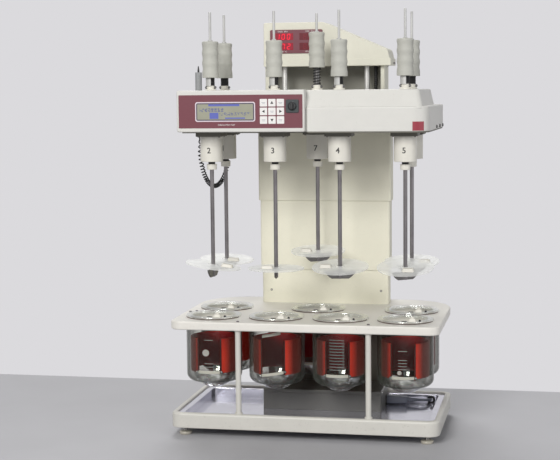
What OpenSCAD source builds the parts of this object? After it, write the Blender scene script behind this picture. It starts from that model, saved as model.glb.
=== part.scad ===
// Seven-station dissolution tester: a lift tower carries a drive head with
// seven paddle shafts over seven jacketed glass vessels in a vessel plate.
// Millimetres, +Z up, the front faces -Y, the origin is on the bench under the middle.

/* [Stations] */
// Distance between neighbouring front stations
pitch = 152.4; // [146:0.2:160]
// Distance between the front and the rear row
row_gap = 138; // [136:1:150]

/* [Base and plate] */
// Width of the base frame and of the vessel plate
base_w = 630; // [620:1:660]
// Depth of the base frame ahead of the tower
base_d = 337; // [330:1:350]
// Height of the base frame's bars
base_h = 36; // [30:1:40]
// Width of the base frame's bars
bar_w = 28; // [24:1:32]
// Height of a leveling foot under the base frame
foot_h = 20; // [14:1:24]
// Height of the vessel plate's top over the bench
plate_top = 272; // [268:1:284]
// Thickness of the vessel plate
plate_t = 20; // [16:1:22]

/* [Vessels] */
// Inner diameter of a vessel
vessel_id = 102; // [98:1:104]
// Wall thickness of a vessel
vessel_wall = 2.5; // [2:0.1:3]
// Depth of a vessel below the plate's top
vessel_depth = 171; // [168:1:176]
// Diameter of a vessel's rim flange
flange_d = 131; // [128:1:132]
// Outer diameter of the clear outer jacket
jacket_d = 132; // [130:1:134]
// Width of the window left open in a heater jacket
window_w = 52; // [44:1:56]

/* [Head] */
// Height of the head's underside over the bench
head_z = 711; // [707:1:715]
// Height of the head
head_h = 94.5; // [92:0.5:100]
// Width of the head's lower body
head_w = 576; // [572:1:590]
// Width of the control panel block
panel_w = 299; // [290:1:305]

/* [Tower] */
// Width of the fixed lift channel
channel_w = 300; // [296:1:304]
// Depth of the fixed lift channel
channel_d = 80; // [76:1:90]
// Height of the tower's top over the bench
tower_top = 972; // [968:1:976]
// Sheet thickness of the channel and the skirts
sheet_t = 2; // [1.5:0.1:2.2]
// Diameter of a guide rod
guide_d = 14; // [12:1:15]

/* [Spindles] */
// Diameter of a paddle shaft
shaft_d = 9.5; // [9:0.1:10]
// Diameter of a spindle housing
housing_d = 53; // [50:1:56]
// Height of a paddle's lower edge over the bench
paddle_z = 367; // [366:1:372]
// Diameter of a vessel cover
cover_d = 132; // [126:1:134]
// Diameter of a lifting grip
grip_d = 39; // [36:1:40]
// How far a grip lifts its shaft
grip_lift = 23; // [20:1:24]

/* [Lead] */
// Diameter of the mains lead
lead_d = 7; // [6.8:0.1:7.2]

/* [Hidden] */
$fn = 48;

// Stations 1 to 7: steps along the row, and which row (1 rear, -1 front)
station_step = [-1.5, -1.5, -0.5, 0.5, 1.5, 1.5, 0];
station_row = [1, -1, -1, -1, -1, 1, 1];
// Turn of each paddle blade about its shaft, in degrees
blade_turn = [60, 85, 101, 11, 40, 11, 35];
// Tilt of each cover about X and about Y, in degrees
cover_tilt_x = [4, 0, 0, 9, 11, 7, 6];
cover_tilt_y = [3, 8, 0, 0, 0, 0, 0];
// Place of the stopper on each cover, from the shaft
stopper_x = [22, 36, -16, -32, 10, 32, -26];
stopper_y = [-24, -10, -26, -14, -36, -18, -20];
// The grip of station 7 stands lifted
lifted = [0, 0, 0, 0, 0, 0, 1];
stations = [0 : 6];
function station_at(i) = [station_step[i] * pitch, station_row[i] * row_gap / 2, 0];

// Gap of a running fit, and the small gap that keeps stacked pieces apart
fit = 0.05;
// How far a cut runs past the face it opens
cut = 1;

// Base, plate and posts
base_front = -162;
base_rear = base_front + base_d;
base_z = foot_h;
base_top = base_z + base_h;
front_corner_r = 26;
base_rear_r = 20;
tail_w = 330;
plate_front = -160;
plate_lap = 2;
plate_rear_r = 120;
floor_rise = 10;
floor_z = base_z + floor_rise;
floor_t = 2;
foot_disc_d = 30;
foot_disc_h = 8;
foot_stud_d = 10;
foot_inset = 30;
post_d = 13;
post_y = -147;
corner_steps = 8;

// Power box on the base floor, and its inlet
box_left = -130;
box_right = 160;
box_front = 20;
box_h = 50;
box_wall = 3;
inlet_back = 29;
inlet_y = base_rear - bar_w - inlet_back;
inlet_z = 44;
inlet_w = 30;
inlet_h = 24;
inlet_depth = 2.5;

// Vessels and jackets
vessel_r = vessel_id / 2;
vessel_or = vessel_r + vessel_wall;
vessel_bottom = plate_top - vessel_depth;
flange_t = 6;
plate_play = 2.5;
plate_hole_r = vessel_or + plate_play;
jacket_wall = 1.8;
jacket_drop = 152;
jacket_bottom = plate_top - jacket_drop;
jacket_corner_r = 18;
jacket_hole_r = 44;
jacket_steps = 6;
heater_gap = 0.5;
heater_in_r = vessel_or + heater_gap;
heater_t = 2;
heater_out_r = heater_in_r + heater_t;
heater_z = 144;
heater_h = 82;
window_a = asin(window_w / 2 / heater_out_r);
tie_lap = 8;
tie_a = window_a + tie_lap;
tie_head_a = 3;
tie_head_d = 5;
tie_head_t = 2;
tie_t = 3;
tie_h = 7;
tie_z = 143;
clip_x = 22;
clip_y = -55;
clip_w = 18;
clip_d = 11;
clip_h = 12;

// Head outline and its parts
head_top = head_z + head_h;
head_front = -135;
head_left_front = -120;
head_gap = 5;
wing_reach = 69;
notch_room = 44;
notch_w = channel_w + notch_room;
lower_h = 56.5;
upper_right = 270;
slope_run = 20;
shell_t = 3;
panel_left = -290;
panel_front = -150;
panel_rise = 1;
panel_right = panel_left + panel_w;
panel_over = 2;
head_left = panel_left + panel_over;
head_corner_r = 36;
pan_t = 3;
bearing_w = 62;
bearing_t = 9;
pan_z = head_z - pan_t;
housing_h = 59;
housing_top = pan_z - bearing_t;
housing_bottom = housing_top - housing_h;
nose_d = 24;
nose_h = 13;
nose_gap = 6;
nose_neck_d = 16;
shaft_hole_r = 6;

// Keypad, display and switch on the panel's face
key_size = 17.2;
key_step = 19.6;
key_t = 0.8;
key_x = -65.5;
key_rise = 47;
key_z = head_z + key_rise;
lcd_w = 141;
lcd_h = 45;
lcd_x = -175;
lcd_rise = 46.5;
lcd_z = head_z + lcd_rise;
lcd_t = 1.2;
switch_x = -18.5;
switch_rise = 58.5;
switch_z = head_z + switch_rise;
switch_d = 20;
switch_t = 4;
switch_fin_w = 6;
switch_fin_h = 18;
switch_fin_t = 9;

// Tower, behind the base's rim and clear of the rear jackets
rim_gap = 1;
jacket_room = 41;
channel_front = max(base_rear + rim_gap, (row_gap + jacket_d) / 2 + jacket_room);
channel_rear = channel_front + channel_d;
plate_rear = channel_rear + plate_lap;
front_step = 16;
channel_wall = 3;
cap_z = 866;
cap_h = tower_top - cap_z;
cap_reach = 17;
cap_left = -channel_w / 2;
cap_right = channel_w / 2 + cap_reach;
cap_flat_right = 0;
cap_front = channel_front - front_step;
cap_side_z = 903;
cap_wall = 3;
cap_lean = 8;
cap_drop = 30;
// Place and height of the display as shares of the cap's height
display_low = 0.283;
display_tall = 0.547;
display_inset = 17;
display_x = cap_left + display_inset;
display_w = 132;
display_z = cap_z + display_low * cap_h;
display_h = display_tall * cap_h;
display_t = 3;
tail_lap = 6;
tail_rear = channel_rear + tail_lap;
// The stations are laid out about their own middle; the origin is under the middle of the footprint
mid_y = (base_front + tail_rear) / 2;
skirt_gap = 1.5;
skirt_step = sheet_t + skirt_gap;
skirt_front = channel_front - front_step;
head_rear = skirt_front - head_gap;
wing_rear = channel_front + wing_reach;
skirt_room = 34;
skirt_w = channel_w + skirt_room;
skirt_return = 46;
pad_w = 14;
pad_h = 8;
pad_sink = 0.2;
skirt_upper_z = 531;
skirt_middle_z = 358;
skirt_middle_top = 540;
skirt_lower_top = 370;
guide_inset = 46;
guide_x = channel_w / 2 - guide_inset;
rod_back = 20;
guide_y = channel_front + rod_back;
screw_inset = 24;
screw_x = channel_w / 2 - screw_inset;
screw_y = channel_front + rod_back;
screw_d = 10;
screw_room = 4;
carriage_room = 24;
carriage_w = channel_w - carriage_room;
carriage_front = head_rear;
carriage_back = 18;
carriage_rear = guide_y + carriage_back;
carriage_rise = 6;
carriage_z = head_z + carriage_rise;
carriage_h = 85;
carriage_wall = 12;
guide_block = 30;
motor_w = 44;
motor_h = 56;
motor_back = 5;
drive_motor_d = 70;
drive_motor_y = -20;
drive_motor_gap = 4;

// Hubs, grips, springs
hub_d = 26;
hub_h = 12;
hub_disc_h = 4;
collar_d = 18;
neck_d = 14;
neck_h = 58.5;
knob_d = 6.8;
knob_rise = 8;
pin_d = 3;
knob_span = 27.8;
grip_h = 84.5;
grip_rise = 30.5;
grip_rest_z = head_top + grip_rise;
grip_well_d = 17;
grip_well_h = 40;
grip_waist = 1.5;
grip_waists = 3;
grip_steps = 10;
grip_foot_h = 10;
grip_crown_h = 4;
grip_crown_r = 3;
rod_d = 6;
rod_top = 988;
rod_nut_d = 10;
rod_nut_h = 3;
spring_d = 20;
spring_wire = 2;
spring_curls = 4;
spring_lead = 2;

// Paddle blade
blade_top_w = 74.5;
blade_bottom_w = 42;
blade_h = 19;
blade_t = 4;
blade_arc_r = 41.5;
blade_steps = 8;
boss_d = 18;

// Covers and stoppers
cover_t = 4;
cover_hole_r = 8;
cover_play = 0.6;
seat_gap = 0.3;
stopper_w = 28;
stopper_d = 14;
stopper_h = 8;

// Probe and its curly cord
probe_x = -276;
probe_y = 0;
probe_d = 16;
probe_play = 0.6;
probe_rise = 44.5;
probe_top = head_top + probe_rise;
probe_tip_d = 5;
probe_tip_h = 15;
probe_drop = 6;
probe_bottom = pan_z - probe_drop;
curl_end_x = -228;
curl_end_y = 110;
curl_wire = 3;
curl_r = 4.5;
curl_count = 40;
curl_depth = 128;
curl_sag = 0.8;
curl_grow_rate = 12;
curl_look = 0.004;
curl_steps = 8;
curl_sides = 6;

// Mains lead: route of the free stretch from the connector to the coil, chosen by hand
connector_l = 50;
connector_w = 26;
connector_h = 20;
strain_l = 24;
strain_d = 13.6;
strain_tip_d = 9;
connector_end = box_right + inlet_depth + connector_l + strain_l;
coil_x = 222;
coil_y = 262;
coil_turns = 3;
coil_play = 0.7;
coil_step = lead_d + coil_play;
coil_out_r = 52;
coil_steps = 24;
coil_sides = 6;
coil_end = lead_d;
coil_exit = 0.25;
coil_climb = 0.5;
lead_bed = lead_d / 2 + 0.1;
plug_tail = 40;
lead_hole_at = 5;
lead_route = [
  [connector_end, inlet_y, inlet_z],
  [connector_end + 10, inlet_y + 1, inlet_z],
  [257, 125, 43],
  [264, 135, 41],
  [267, 148, 39],
  [268, 163, 37],
  [268, 178, 35],
  [269, 194, 30],
  [271, 210, 22],
  [273, 226, 12],
  [274, 240, 5],
  [coil_x + coil_out_r, coil_y - coil_end - 4, lead_bed],
  [coil_x + coil_out_r, coil_y - coil_end, lead_bed]
];
lead_sides = 10;
lead_hole_r = 8;
plug_w = 42;
plug_l = 40;
plug_pin_l = 19;
plug_pin_d = 4.8;
plug_pin_gap = 19;

// Moves the layout so that the footprint is centred on the origin
module centred() {
  translate([0, -mid_y, 0]) children();
}

// Points of an arc about [x, y]
function arc(x, y, r, a0, a1, steps) =
  [for (i = [0 : steps]) [x + r * cos(a0 + (a1 - a0) * i / steps), y + r * sin(a0 + (a1 - a0) * i / steps)]];

// Outline of a plate with rounded front and rear corners
function rounded_outline(w, front, rear, front_r, rear_r) = concat(
  arc(-w / 2 + front_r, front + front_r, front_r, 180, 270, corner_steps),
  arc(w / 2 - front_r, front + front_r, front_r, 270, 360, corner_steps),
  arc(w / 2 - rear_r, rear - rear_r, rear_r, 0, 90, corner_steps),
  arc(-w / 2 + rear_r, rear - rear_r, rear_r, 90, 180, corner_steps)
);

module box_between(x0, x1, y0, y1, z0, z1) {
  translate([x0, y0, z0]) cube([x1 - x0, y1 - y0, z1 - z0]);
}

// Unit vector, and the tangent of a path at one of its points
function unit(v) = v / norm(v);
function tangent(path, i) =
  unit(path[min(i + 1, len(path) - 1)] - path[max(i - 1, 0)]);

// One ring of points square to the direction t; up sets where its first point lies
function ring_at(p, t, up, r, sides) =
  let (u = unit(up - (up * t) * t), v = cross(t, u))
  [for (k = [0 : sides - 1]) p + r * cos(360 * k / sides) * u + r * sin(360 * k / sides) * v];

// Tube swept along a path as one closed polyhedron; ups gives each ring's first direction
module tube(path, ups, r, sides) {
  rings = len(path);
  points = [for (i = [0 : rings - 1]) each ring_at(path[i], tangent(path, i), ups[i], r, sides)];
  walls = [for (i = [0 : rings - 2], k = [0 : sides - 1])
    let (a = i * sides + k, b = i * sides + (k + 1) % sides)
    each [[a, a + sides, b + sides], [a, b + sides, b]]];
  first_cap = [for (k = [0 : sides - 1]) k];
  last_cap = [for (k = [sides - 1 : -1 : 0]) (rings - 1) * sides + k];
  polyhedron(points, concat(walls, [first_cap], [last_cap]), convexity = 10);
}

// Smallest gap between the turns of a wound tube: points half a turn or more apart on its path
function turn_gap(path, turn_steps, d) =
  min([for (i = [0 : len(path) - 1], j = [i + floor(turn_steps / 2) : 1 : len(path) - 1])
    norm(path[j] - path[i])]) - d;

// Base frame: a rim of bars, and a tail that the tower stands on
module base_frame() {
  inner_front = base_front + bar_w;
  inner_rear = base_rear - bar_w;
  color("gainsboro") difference() {
    union() {
      translate([0, 0, base_z]) linear_extrude(base_h)
        polygon(rounded_outline(base_w, base_front, base_rear, front_corner_r, base_rear_r));
      box_between(-tail_w / 2, tail_w / 2, inner_rear, tail_rear, base_z, base_top);
    }
    box_between(-base_w / 2 + bar_w, base_w / 2 - bar_w, inner_front, inner_rear, base_z - cut, base_top + cut);
    translate([lead_route[lead_hole_at][0], inner_rear - cut, lead_route[lead_hole_at][2]]) rotate([-90, 0, 0])
      cylinder(r = lead_hole_r, h = bar_w + 2 * cut);
  }
}

// Floor pan between the bars
module base_floor() {
  color("lightsteelblue") box_between(-base_w / 2 + bar_w, base_w / 2 - bar_w,
    base_front + bar_w, base_rear - bar_w, floor_z, floor_z + floor_t);
}

// Four feet: a disc and a stud each
module leveling_feet() {
  color("dimgray")
    for (x = [-base_w / 2 + foot_inset, base_w / 2 - foot_inset])
      for (y = [base_front + foot_inset, base_rear - foot_inset])
        translate([x, y, 0]) {
          cylinder(d = foot_disc_d, h = foot_disc_h);
          cylinder(d = foot_stud_d, h = base_z);
        }
}

// Closed power box on the floor pan under the rear vessels
module power_box() {
  color("dimgray") difference() {
    box_between(box_left, box_right, box_front, base_rear - bar_w,
      floor_z + floor_t, floor_z + floor_t + box_h);
    box_between(box_left + box_wall, box_right - box_wall, box_front + box_wall, base_rear - bar_w - box_wall,
      floor_z + floor_t - cut, floor_z + floor_t + box_h - box_wall);
  }
}

// Mains inlet: a frame on the box's right side
module power_inlet() {
  color("black") box_between(box_right, box_right + inlet_depth,
    inlet_y - inlet_w / 2, inlet_y + inlet_w / 2, inlet_z - inlet_h / 2, inlet_z + inlet_h / 2);
}

// Vessel plate with seven holes and a hole for the lift screw
module vessel_plate() {
  color("antiquewhite") difference() {
    translate([0, 0, plate_top - plate_t]) linear_extrude(plate_t)
      polygon(rounded_outline(base_w, plate_front, plate_rear, front_corner_r, plate_rear_r));
    for (i = stations)
      translate(station_at(i) + [0, 0, plate_top - plate_t - cut])
        cylinder(r = plate_hole_r, h = plate_t + 2 * cut);
    translate([screw_x, screw_y, plate_top - plate_t - cut])
      cylinder(d = screw_d + screw_room, h = plate_t + 2 * cut);
  }
}

// Two front posts between the base frame and the plate
module support_posts() {
  color("gainsboro")
    for (x = [-pitch, pitch])
      translate([x, post_y, base_top]) cylinder(d = post_d, h = plate_top - plate_t - base_top);
}

// Tower foot between the frame's tail and the plate
module tower_base() {
  color("dimgray") difference() {
    box_between(-channel_w / 2, channel_w / 2, channel_front, channel_rear, base_top, plate_top - plate_t);
    box_between(-channel_w / 2 + channel_wall, channel_w / 2 - channel_wall, channel_front + channel_wall,
      channel_rear - channel_wall, base_top + channel_wall, plate_top - plate_t + cut);
  }
}

// Fixed lift channel: back, two sides, and a top plate that holds the rods
module tower_channel() {
  color("antiquewhite") difference() {
    box_between(-channel_w / 2, channel_w / 2, channel_front, channel_rear, plate_top, cap_z);
    box_between(-channel_w / 2 + channel_wall, channel_w / 2 - channel_wall,
      channel_front - cut, channel_rear - channel_wall, plate_top - cut, cap_z - channel_wall);
  }
}

// U-shaped skirt sheet; step counts the skirts from the outside in, and pads glide on the next one
module skirt(step, z0, z1, pads) {
  w = skirt_w - 2 * step * skirt_step;
  front = skirt_front + step * skirt_step;
  rear = skirt_front + skirt_return;
  pad_t = skirt_gap - seat_gap;
  difference() {
    box_between(-w / 2, w / 2, front, rear, z0, z1);
    box_between(-w / 2 + sheet_t, w / 2 - sheet_t, front + sheet_t, rear + cut, z0 - cut, z1 + cut);
  }
  if (pads)
    for (s = [-1, 1])
      translate([s * (w / 2 - sheet_t - pad_t / 2), front + skirt_return / 2, z0 + pad_h / 2])
        cube([pad_t + pad_sink, pad_w, pad_h], center = true);
}
module skirt_upper() {
  color("beige") skirt(0, skirt_upper_z, carriage_z, true);
}
module skirt_middle() {
  color("beige") skirt(1, skirt_middle_z, skirt_middle_top, true);
}
module skirt_lower() {
  color("beige") skirt(2, plate_top, skirt_lower_top, false);
}

// Cap with a roof that falls away to the right, open below
module tower_cap() {
  outer = [[cap_left, cap_z], [cap_left, tower_top], [cap_flat_right, tower_top],
    [cap_right - cap_lean, cap_side_z], [cap_right, cap_side_z - cap_drop], [cap_right, cap_z]];
  inner = [[cap_left + cap_wall, cap_z - cut], [cap_left + cap_wall, tower_top - cap_wall],
    [cap_flat_right - cap_wall, tower_top - cap_wall],
    [cap_right - cap_lean - cap_wall, cap_side_z - cap_wall],
    [cap_right - cap_wall, cap_side_z - cap_drop - cap_wall], [cap_right - cap_wall, cap_z - cut]];
  color("beige") difference() {
    translate([0, channel_rear, 0]) rotate([90, 0, 0]) linear_extrude(channel_rear - cap_front) polygon(outer);
    translate([0, channel_rear - cap_wall, 0]) rotate([90, 0, 0])
      linear_extrude(channel_rear - cap_front - 2 * cap_wall) polygon(inner);
  }
}

// Status display window on the cap's front
module status_display() {
  color("maroon") box_between(display_x, display_x + display_w, cap_front - display_t, cap_front,
    display_z, display_z + display_h);
}

// Two polished guide rods
module guide_rods() {
  color("silver")
    for (x = [-guide_x, guide_x])
      translate([x, guide_y, plate_top]) cylinder(d = guide_d, h = cap_z - channel_wall - plate_top);
}

// Lift screw, turned by the motor under the plate
module lift_screw() {
  color("gray") translate([screw_x, screw_y, plate_top - plate_t + fit])
    cylinder(d = screw_d, h = cap_z - channel_wall - plate_top + plate_t - 2 * fit);
}

// Lift motor, hung under the plate inside the tower foot
module lift_motor() {
  color("black") box_between(screw_x - motor_w / 2, channel_w / 2 - channel_wall,
    screw_y - motor_w / 2 + motor_back, screw_y + motor_w / 2 + motor_back,
    plate_top - plate_t - motor_h, plate_top - plate_t);
}

// One glass vessel with a rim flange and a round bottom
module vessel() {
  ball_z = vessel_bottom + vessel_or;
  difference() {
    union() {
      translate([0, 0, ball_z]) sphere(r = vessel_or);
      translate([0, 0, ball_z]) cylinder(r = vessel_or, h = plate_top - ball_z);
      translate([0, 0, plate_top]) cylinder(d = flange_d, h = flange_t);
    }
    translate([0, 0, ball_z]) sphere(r = vessel_r);
    translate([0, 0, ball_z]) cylinder(r = vessel_r, h = vessel_depth);
  }
}
module vessels() {
  color("lightblue", 0.5) for (i = stations) translate(station_at(i)) vessel();
}

// C-shaped heater jackets, open at the front
module heater_jackets() {
  color("orangered")
    for (i = stations)
      translate(station_at(i) + [0, 0, heater_z]) rotate([0, 0, -90 + window_a])
        rotate_extrude(angle = 360 - 2 * window_a) translate([heater_in_r, 0]) square([heater_t, heater_h]);
}

// Clear outer jackets with a round lower edge
module outer_jackets() {
  r = jacket_d / 2;
  c = jacket_corner_r;
  top = plate_top - plate_t;
  profile = concat(
    [[jacket_hole_r, jacket_bottom]],
    arc(r - c, jacket_bottom + c, c, -90, 0, jacket_steps),
    [[r, top], [r - jacket_wall, top]],
    arc(r - c, jacket_bottom + c, c - jacket_wall, 0, -90, jacket_steps),
    [[jacket_hole_r, jacket_bottom + jacket_wall]]
  );
  color("gainsboro", 0.4)
    for (i = stations)
      translate(station_at(i)) rotate_extrude() polygon(profile);
}

// White tie across each heater's window, with a round head at each end
module jacket_ties() {
  color("white")
    for (i = stations)
      translate(station_at(i) + [0, 0, tie_z]) {
        rotate([0, 0, -90 - tie_a]) rotate_extrude(angle = 2 * tie_a)
          translate([heater_out_r, 0]) square([tie_t, tie_h]);
        for (s = [-1, 1])
          rotate([0, 0, s * (tie_a - tie_head_a)]) translate([0, -heater_out_r - tie_t, tie_h / 2])
            rotate([90, 0, 0]) cylinder(d = tie_head_d, h = tie_head_t, center = true);
      }
}

// White clips that hold the front of each flange
module flange_clips() {
  color("white")
    for (i = stations)
      translate(station_at(i) + [clip_x, clip_y, plate_top + flange_t])
        translate([-clip_w / 2, -clip_d / 2, 0]) cube([clip_w, clip_d, clip_h]);
}

// Outline of the head's lower body: it reaches back on both sides of the tower
function head_outline(grow) = [
  [head_left - grow, head_left_front - grow],
  [panel_right + grow, head_left_front - grow],
  [panel_right + grow, head_front - grow],
  each arc(head_w / 2 - head_corner_r, head_front + head_corner_r, head_corner_r + grow, -90, 0, corner_steps),
  [head_w / 2 + grow, wing_rear + grow],
  [notch_w / 2 - grow, wing_rear + grow],
  [notch_w / 2 - grow, head_rear + grow],
  [-notch_w / 2 + grow, head_rear + grow],
  [-notch_w / 2 + grow, wing_rear + grow],
  [head_left - grow, wing_rear + grow]
];

// Dark pan under the head with a bearing plate at each station
module head_pan() {
  color("dimgray") difference() {
    union() {
      translate([0, 0, pan_z]) linear_extrude(pan_t) polygon(head_outline(0));
      for (i = stations)
        translate(station_at(i) + [-bearing_w / 2, -bearing_w / 2, pan_z - bearing_t])
          cube([bearing_w, bearing_w, bearing_t]);
    }
    for (i = stations)
      translate(station_at(i) + [0, 0, pan_z - bearing_t - cut])
        cylinder(r = shaft_hole_r, h = bearing_t + pan_t + 2 * cut);
    translate([probe_x, probe_y, pan_z - cut]) cylinder(d = probe_d + probe_play, h = pan_t + 2 * cut);
  }
}

// Side profile of the head's upper band, with a sloping front
module upper_band(x0, x1, front, run, wall) {
  translate([x0, 0, 0]) rotate([90, 0, 90]) linear_extrude(x1 - x0)
    polygon([[front, head_z + lower_h - cut - wall], [front, head_z + lower_h], [front + run, head_top - wall],
      [head_rear - wall, head_top - wall], [head_rear - wall, head_z + lower_h - cut - wall]]);
}

// White cover over the head, hollow and open below
module head_cover() {
  color("whitesmoke") difference() {
    union() {
      translate([0, 0, head_z]) linear_extrude(lower_h) polygon(head_outline(0));
      upper_band(head_left, panel_right, head_left_front, 0, 0);
      upper_band(panel_right, upper_right, head_front, slope_run, 0);
    }
    translate([0, 0, head_z - cut]) linear_extrude(lower_h - shell_t + cut) polygon(head_outline(-shell_t));
    upper_band(head_left + shell_t, panel_right + cut, head_left_front + shell_t, 0, shell_t);
    upper_band(panel_right + shell_t, upper_right - shell_t, head_front + shell_t, slope_run, shell_t);
    for (i = stations)
      translate(station_at(i) + [0, 0, head_z]) cylinder(r = shaft_hole_r, h = head_h + cut);
    translate([probe_x, probe_y, head_z]) cylinder(d = probe_d + probe_play, h = head_h + cut);
  }
}

// Control panel block at the left of the head
module control_panel() {
  color("white")
    box_between(panel_left, panel_right - fit, panel_front, head_left_front - fit,
      head_z, head_top + panel_rise);
}

// Nine membrane keys
module keypad() {
  color("white")
    for (column = [-1 : 1], row = [-1 : 1])
      translate([key_x + column * key_step, panel_front - key_t / 2, key_z + row * key_step])
        cube([key_size, key_t, key_size], center = true);
}

// Window of the panel's display
module lcd_window() {
  color("darkseagreen") translate([lcd_x, panel_front - lcd_t / 2, lcd_z])
    cube([lcd_w, lcd_t, lcd_h], center = true);
}

// Key switch: a round knob with a grip bar
module key_switch() {
  color("black") translate([switch_x, panel_front, switch_z]) {
    rotate([90, 0, 0]) cylinder(d = switch_d, h = switch_t);
    translate([-switch_fin_w / 2, -switch_fin_t, -switch_fin_h / 2])
      cube([switch_fin_w, switch_fin_t, switch_fin_h]);
  }
}

// Carriage that runs on the guide rods and carries the head
module carriage() {
  color("silver") difference() {
    box_between(-carriage_w / 2, carriage_w / 2, carriage_front, carriage_rear,
      carriage_z, carriage_z + carriage_h);
    for (x = [-guide_x, guide_x])
      translate([x, guide_y, carriage_z - cut]) cylinder(d = guide_d + 2 * fit, h = carriage_h + 2 * cut);
    translate([screw_x, screw_y, carriage_z - cut]) cylinder(d = screw_d + 2 * fit, h = carriage_h + 2 * cut);
    box_between(-guide_x + guide_block, guide_x - guide_block,
      carriage_front + carriage_wall, carriage_rear + cut, carriage_z - cut, carriage_z + carriage_h + cut);
  }
}

// White spindle housings under the bearing plates, each with a necked nose
module spindle_housings() {
  color("white")
    for (i = stations)
      translate(station_at(i) + [0, 0, housing_bottom]) difference() {
        union() {
          cylinder(d = housing_d, h = housing_h);
          translate([0, 0, -nose_gap]) cylinder(d = nose_neck_d, h = nose_gap);
          translate([0, 0, -nose_gap - nose_h]) cylinder(d = nose_d, h = nose_h);
        }
        translate([0, 0, -nose_gap - nose_h - cut])
          cylinder(d = shaft_d + 2 * fit, h = housing_h + nose_gap + nose_h + 2 * cut);
      }
}

// Hubs on the head's top: a white disc with a collar, a neck, and a cross pin with two round knobs
module top_hubs() {
  color("white")
    for (i = stations)
      translate(station_at(i) + [0, 0, head_top]) difference() {
        union() {
          cylinder(d = hub_d, h = hub_disc_h);
          cylinder(d = collar_d, h = hub_h);
          cylinder(d = neck_d, h = neck_h);
          translate([0, 0, knob_rise]) rotate([0, 90, 0])
            cylinder(d = pin_d, h = knob_span - knob_d, center = true);
          for (s = [-1, 1])
            translate([s * (knob_span - knob_d) / 2, 0, knob_rise]) sphere(d = knob_d);
        }
        translate([0, 0, -cut]) cylinder(d = shaft_d + 2 * fit, h = neck_h + 2 * cut);
      }
}

// Helical spring between a hub and its grip
function spring_height(i) = grip_rest_z - head_top - hub_h + lifted[i] * grip_lift - 2 * fit;
spring_r = (spring_d - spring_wire) / 2;
spring_steps = spring_curls * curl_steps;
function spring_point(s, height) = [
  spring_r * cos(360 * s / curl_steps),
  spring_r * sin(360 * s / curl_steps),
  spring_wire / 2 + (height - spring_wire) * s / spring_steps
];
function spring_path(height) = concat(
  [spring_point(0, height) - [0, spring_lead, 0]],
  [for (s = [0 : spring_steps]) spring_point(s, height)],
  [spring_point(spring_steps, height) + [0, spring_lead, 0]]
);
module spring(height) {
  path = spring_path(height);
  tube(path, [for (p = path) [p[0], p[1], 0]], spring_wire / 2 - fit, curl_sides);
}
module grip_springs() {
  color("black")
    for (i = stations)
      translate(station_at(i) + [0, 0, head_top + hub_h + fit]) spring(spring_height(i));
}

// Drive motor inside the head
module drive_motor() {
  color("black") translate([0, drive_motor_y, head_z])
    cylinder(d = drive_motor_d, h = lower_h - shell_t - drive_motor_gap);
}

// Probe parked in the head: grey handle, thin tip
module probe() {
  color("silver") translate([probe_x, probe_y, 0]) {
    translate([0, 0, probe_bottom]) cylinder(d = probe_d, h = probe_top - probe_bottom);
    translate([0, 0, probe_top]) cylinder(d = probe_tip_d, h = probe_tip_h);
  }
}

// Curly cord that hangs from the probe to the head's underside
function curl_mid(t) = [
  probe_x + (curl_end_x - probe_x) * (1 - cos(180 * t)) / 2,
  probe_y + (curl_end_y - probe_y) * (1 - cos(180 * t)) / 2,
  probe_bottom + (pan_z - probe_bottom) * t - curl_depth * pow(sin(180 * t), curl_sag)
];
// The curls grow from nothing over the first and the last twelfth of the cord
function curl_grow(t) = min(1, min(t, 1 - t) * curl_grow_rate);
function curl_dir(t) = unit(curl_mid(min(t + curl_look, 1)) - curl_mid(max(t - curl_look, 0)));
function curl_side() = unit([-(curl_end_y - probe_y), curl_end_x - probe_x, 0]);
function curl_point(t) =
  let (d = curl_dir(t), s = curl_side(), n = cross(d, s), a = 360 * curl_count * t)
  curl_mid(t) + curl_r * curl_grow(t) * (cos(a) * s + sin(a) * n);
curl_total = curl_count * curl_steps;
curl_path = concat(
  [[probe_x, probe_y, probe_bottom - fit]],
  [for (s = [1 : curl_total - 1]) curl_point(s / curl_total) - [0, 0, curl_wire]],
  [[curl_end_x, curl_end_y, pan_z - fit]]
);
module probe_cord() {
  color("black") tube(curl_path, [for (p = curl_path) curl_side()], curl_wire / 2, curl_sides);
}

// Ribbed grip with a well for the hub's neck below, and a rod bore above
module grip(i) {
  span = grip_h - grip_foot_h - grip_crown_h;
  side = [for (s = [0 : grip_steps * grip_waists])
    [grip_d / 2 - grip_waist * (1 - cos(360 * s / grip_steps)) / 2,
      grip_foot_h + span * s / (grip_steps * grip_waists)]];
  profile = concat([[0, 0], [grip_d / 2, 0]], side, [[grip_d / 2 - grip_crown_r, grip_h], [0, grip_h]]);
  color("silver") translate(station_at(i) + [0, 0, grip_rest_z + lifted[i] * grip_lift]) difference() {
    rotate_extrude() polygon(profile);
    translate([0, 0, -cut]) cylinder(d = grip_well_d, h = grip_well_h + cut);
    translate([0, 0, grip_well_h - cut]) cylinder(d = rod_d + 2 * fit, h = grip_h);
  }
}

// Half width of the blade at a height over its lower edge
function blade_half(h) = let (mid = sqrt(pow(blade_arc_r, 2) - pow(blade_bottom_w / 2, 2)))
  min(blade_top_w / 2, sqrt(pow(blade_arc_r, 2) - pow(mid - h, 2)));

// Height of the boss that a tilted cover rests on, over the blade
function boss_h(i) = (blade_top_w - boss_d) / 2 * tan(cover_tilt(i)) + cover_play - seat_gap;

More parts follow.
